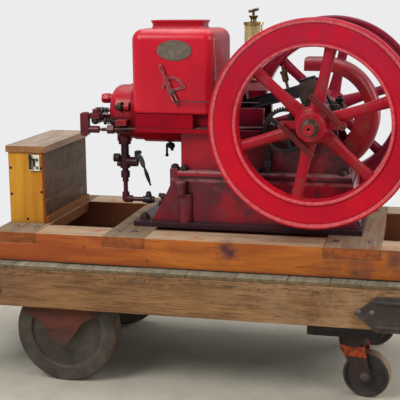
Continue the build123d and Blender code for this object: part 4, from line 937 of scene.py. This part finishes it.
def make_box_fittings():
    """Screws of the battery box, the knife switch's blade and clips."""
    screws = Shape()
    for side, y in ((-1, -0.188), (1, 0.234)):
        for x, z in ((-0.613, 0.698), (-0.613, 0.606), (-0.503, 0.699), (-0.503, 0.616), (-0.557, 0.520)):
            screws.dome((x, y, z), (0, side, 0), 0.0048, 0.0022)
    screws.piece("box_screws", "black")
    low, high = corners("knife_switch")
    face = low.y
    middle = (low.x + high.x) / 2
    blade = Shape()
    blade.block((low.x + 0.003, face - 0.0105, low.z + 0.006), (low.x + 0.011, face - 0.0075, high.z - 0.010))
    blade.turned([(0, 0), (0.0052, 0.001), (0.0062, 0.008), (0.0048, 0.017), (0, 0.019)],
                 (low.x + 0.007, face - 0.009, high.z - 0.014), sides=14)
    blade.block((middle - 0.003, face - 0.004, low.z + 0.016), (middle + 0.003, face, high.z - 0.012))
    blade.piece("switch_blade", "black")
    clips = Shape()
    for z in (low.z + 0.007, high.z - 0.019):
        for x in (low.x + 0.001, low.x + 0.0115):
            clips.block((x, face - 0.009, z), (x + 0.0016, face + 0.0005, z + 0.008))
        clips.nut((high.x - 0.008, face, z + 0.004), (0, -1, 0), 0.005, 0.7)
    clips.piece("switch_clips", "brass", slot="brass")


def make_engine_fasteners():
    """Bosses and nuts of the head, nuts of the bearing caps, the head's plug collar and the latch's block."""
    circle = 0.0985
    head = Shape()
    bosses = Shape()
    for angle in (radians(194), radians(346)):
        y = circle * cos(angle)
        z = crank_z - circle * sin(angle)
        bosses.rod((-0.211, y, z), (-1, 0, 0), 0.0145, 0, 0.018, 18, 0.0125, 0.002)
        head.rod((-0.229, y, z), (-1, 0, 0), 0.0062, 0, 0.036, 12, 0.005, 0.002)
        head.nut((-0.2385, y, z), (-1, 0, 0), 0.014, 0.85, end=0.0)
    bosses.piece("head_bosses", "casting", slot="red_enamel")
    head.piece("head_nuts", "dark_nuts")
    caps = Shape()
    stud = 0.0165
    for side in (-1, 1):
        for x in (crank_x - 0.047, crank_x + 0.047):
            place = Vector((x, side * 0.1085, 0.902))
            caps.rod(place, (0, 0, 1), stud, -0.012, 0, 18)
            caps.nut(place, (0, 0, 1), stud, 0.75, end=0.0)
            caps.nut(place + Vector((0, 0, 0.0145)), (0, 0, 1), stud, 0.6, washer=False, end=0.45, turn=0.7)
    caps.piece("cap_nuts", "black")
    plug = Shape()
    plug.turned([(0.0151, 0), (0.0180, 0.002), (0.0190, 0.006), (0.0190, 0.022), (0.0180, 0.025), (0.0151, 0.027)],
                (-0.3285, -0.020, 0.925), (1, 0, 0), 6, 0.3)
    plug.piece("plug_collar", "head", slot="red_enamel", bevel=0.003)
    latch = Shape()
    latch.block((-0.252, -0.118, 0.815), (-0.222, -0.062, 0.843))
    latch.piece("latch_block", "small", slot="red_enamel", bevel=0.004)


def make_valve_gear():
    """The exhaust valve's keeper and spring, and the spring of the push rod's latch."""
    valve_y, valve_z = -0.068, 0.887
    keeper = Shape()
    keeper.turned([(0.0052, 0), (0.0125, 0), (0.0125, 0.0028), (0.0052, 0.004)],
                  (-0.3185, valve_y, valve_z), (1, 0, 0), 18)
    keeper.piece("valve_keeper", "nuts", "valve", "steel")
    coil = Shape()
    coil.spring(Vector((-0.3135, valve_y, valve_z)), Vector((-0.2945, valve_y, valve_z)), 0.0098, 0.0016, 3.6)
    made = coil.piece("valve_spring", "rod", slot="steel")
    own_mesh(made)
    latch = Shape()
    start = Vector((-0.300, -0.101, 0.8535))
    end = Vector((-0.249, -0.101, 0.8535))
    latch.rod(start, (1, 0, 0), 0.0045, 0, 0.055, 12)
    latch.rod(start, (1, 0, 0), 0.0115, 0.001, 0.005, 18)
    latch.spring(start + Vector((0.006, 0, 0)), end, 0.0095, 0.0018, 6)
    latch.piece("latch_spring", "black")


def make_oiler_inside():
    """The drip tube inside the cylinder oiler, and its flared crown with the tilted handle."""
    oiler_x = 0.198
    tube = Shape()
    tube.turned([(0.0041, 0.0004), (0.0105, 0.0004), (0.0105, 0.012), (0.0072, 0.016), (0.0072, 0.064),
                 (0.0115, 0.070), (0.0115, 0.0896), (0.0041, 0.0896)], (oiler_x, 0, 1.085))
    tube.piece("oiler_tube", "bronze", slot="brass")
    crown = Shape()
    crown.turned([(0.0085, 0), (0.0112, 0.0008), (0.0090, 0.008), (0.0160, 0.0195), (0.0140, 0.021), (0.0045, 0.013),
                  (0.0045, 0.010)], (oiler_x, 0, 1.1845))
    tilt = radians(14)
    reach = Vector((cos(tilt), 0, sin(tilt))) * 0.0178
    crown.turned([(0, 0), (0.0052, 0.0006), (0.0052, 0.035), (0, 0.0356)], Vector((oiler_x, 0, 1.2231)) - reach,
                 reach, 14)
    crown.rod((oiler_x, 0, 1.192), (0, 0, 1), 0.0046, 0, 0.030, 12)
    crown.piece("oiler_crown", "sooty_brass", slot="brass")


def make_plate_rim():
    """The raised rim and the rivets of the bare oval plate."""
    low, high = corners("name_plate")
    middle = (low + high) / 2
    half = (high - low) / 2
    rim = Shape()
    angles = [tau * k / 48 for k in range(48)]
    rings = []
    for inset, out in ((0.0, 0.0), (0.0006, 0.0011), (0.0028, 0.0011), (0.0034, -0.0006)):
        rings.append(rim.points((middle.x + (half.x - inset) * cos(a), low.y - out,
                                 middle.z + (half.z - inset) * sin(a)) for a in angles))
    rings.append(rings[0])
    rim.skin(rings, caps=False)
    for side in (-1, 1):
        rim.dome((middle.x + side * (half.x - 0.009), low.y, middle.z), (0, -1, 0), 0.0032, 0.0018)
    rim.piece("plate_rim", "plate", slot="bronze_plate")


def make_crank_details():
    """Caps on the governor's pins, and the nut of the speed lever."""
    pins = Shape()
    for x in (crank_x - 0.092, crank_x + 0.092):
        pins.rod((x, -0.344, crank_z), (0, -1, 0), 0.0045, 0, 0.0006, 16)
    pins.piece("governor_pins", "black", "crank")
    lever = Shape()
    lever.nut((-0.048, -0.1615, 0.962), (0, -1, 0), 0.0078, 0.6, end=0.3)
    lever.piece("lever_nut", "nuts")


def light(name, place, target, size, power):
    """One soft square lamp."""
    data = bpy.data.lights.new(name, "AREA")
    data.size = size
    data.energy = power
    lamp = placed(name, data)
    lamp.location = place
    lamp.rotation_mode = "QUATERNION"
    lamp.rotation_quaternion = (Vector(target) - Vector(place)).to_track_quat("-Z", "Y")


def make_stage():
    """Floor, background and lamps."""
    bpy.ops.mesh.primitive_plane_add(size=floor_side, location=(0, 0, 0))
    floor = bpy.context.object
    floor.name = "floor"
    floor.data.materials.append(floor_finish())
    world = bpy.data.worlds.new("studio")
    scene.world = world
    world.use_nodes = True
    tree = world.node_tree
    tree.nodes.clear()
    seen = add_node(tree, "ShaderNodeBackground", {"Color": background})
    fill = add_node(tree, "ShaderNodeBackground", {"Color": fill_colour, "Strength": fill_strength})
    ray = add_node(tree, "ShaderNodeLightPath")
    blend = add_node(tree, "ShaderNodeMixShader", {
        0: ray.outputs["Is Camera Ray"], 1: fill.outputs[0], 2: seen.outputs[0]})
    add_node(tree, "ShaderNodeOutputWorld", {0: blend.outputs[0]})
    light("key_light", (-1.8, -2.6, 3.1), (0.0, 0.0, 0.8), 1.8, 105)
    light("right_light", (2.9, -1.6, 2.6), (0.2, 0.0, 0.8), 1.6, 45)
    light("top_light", (0.2, 0.6, 3.3), (0.2, 0.0, 0.6), 2.4, 60)
    light("side_light", (2.6, 1.4, 1.5), (0.1, 0.0, 1.0), 1.6, 30)
    scene.view_settings.view_transform = "Standard"
    scene.view_settings.look = "None"


make_camera()
make_stage()
dress_nodes()
make_deck()
make_planks()
open_cylinder()
make_cart_fasteners()
make_skid_fasteners()
make_box_fittings()
make_engine_fasteners()
make_valve_gear()
make_oiler_inside()
make_plate_rim()
make_crank_details()
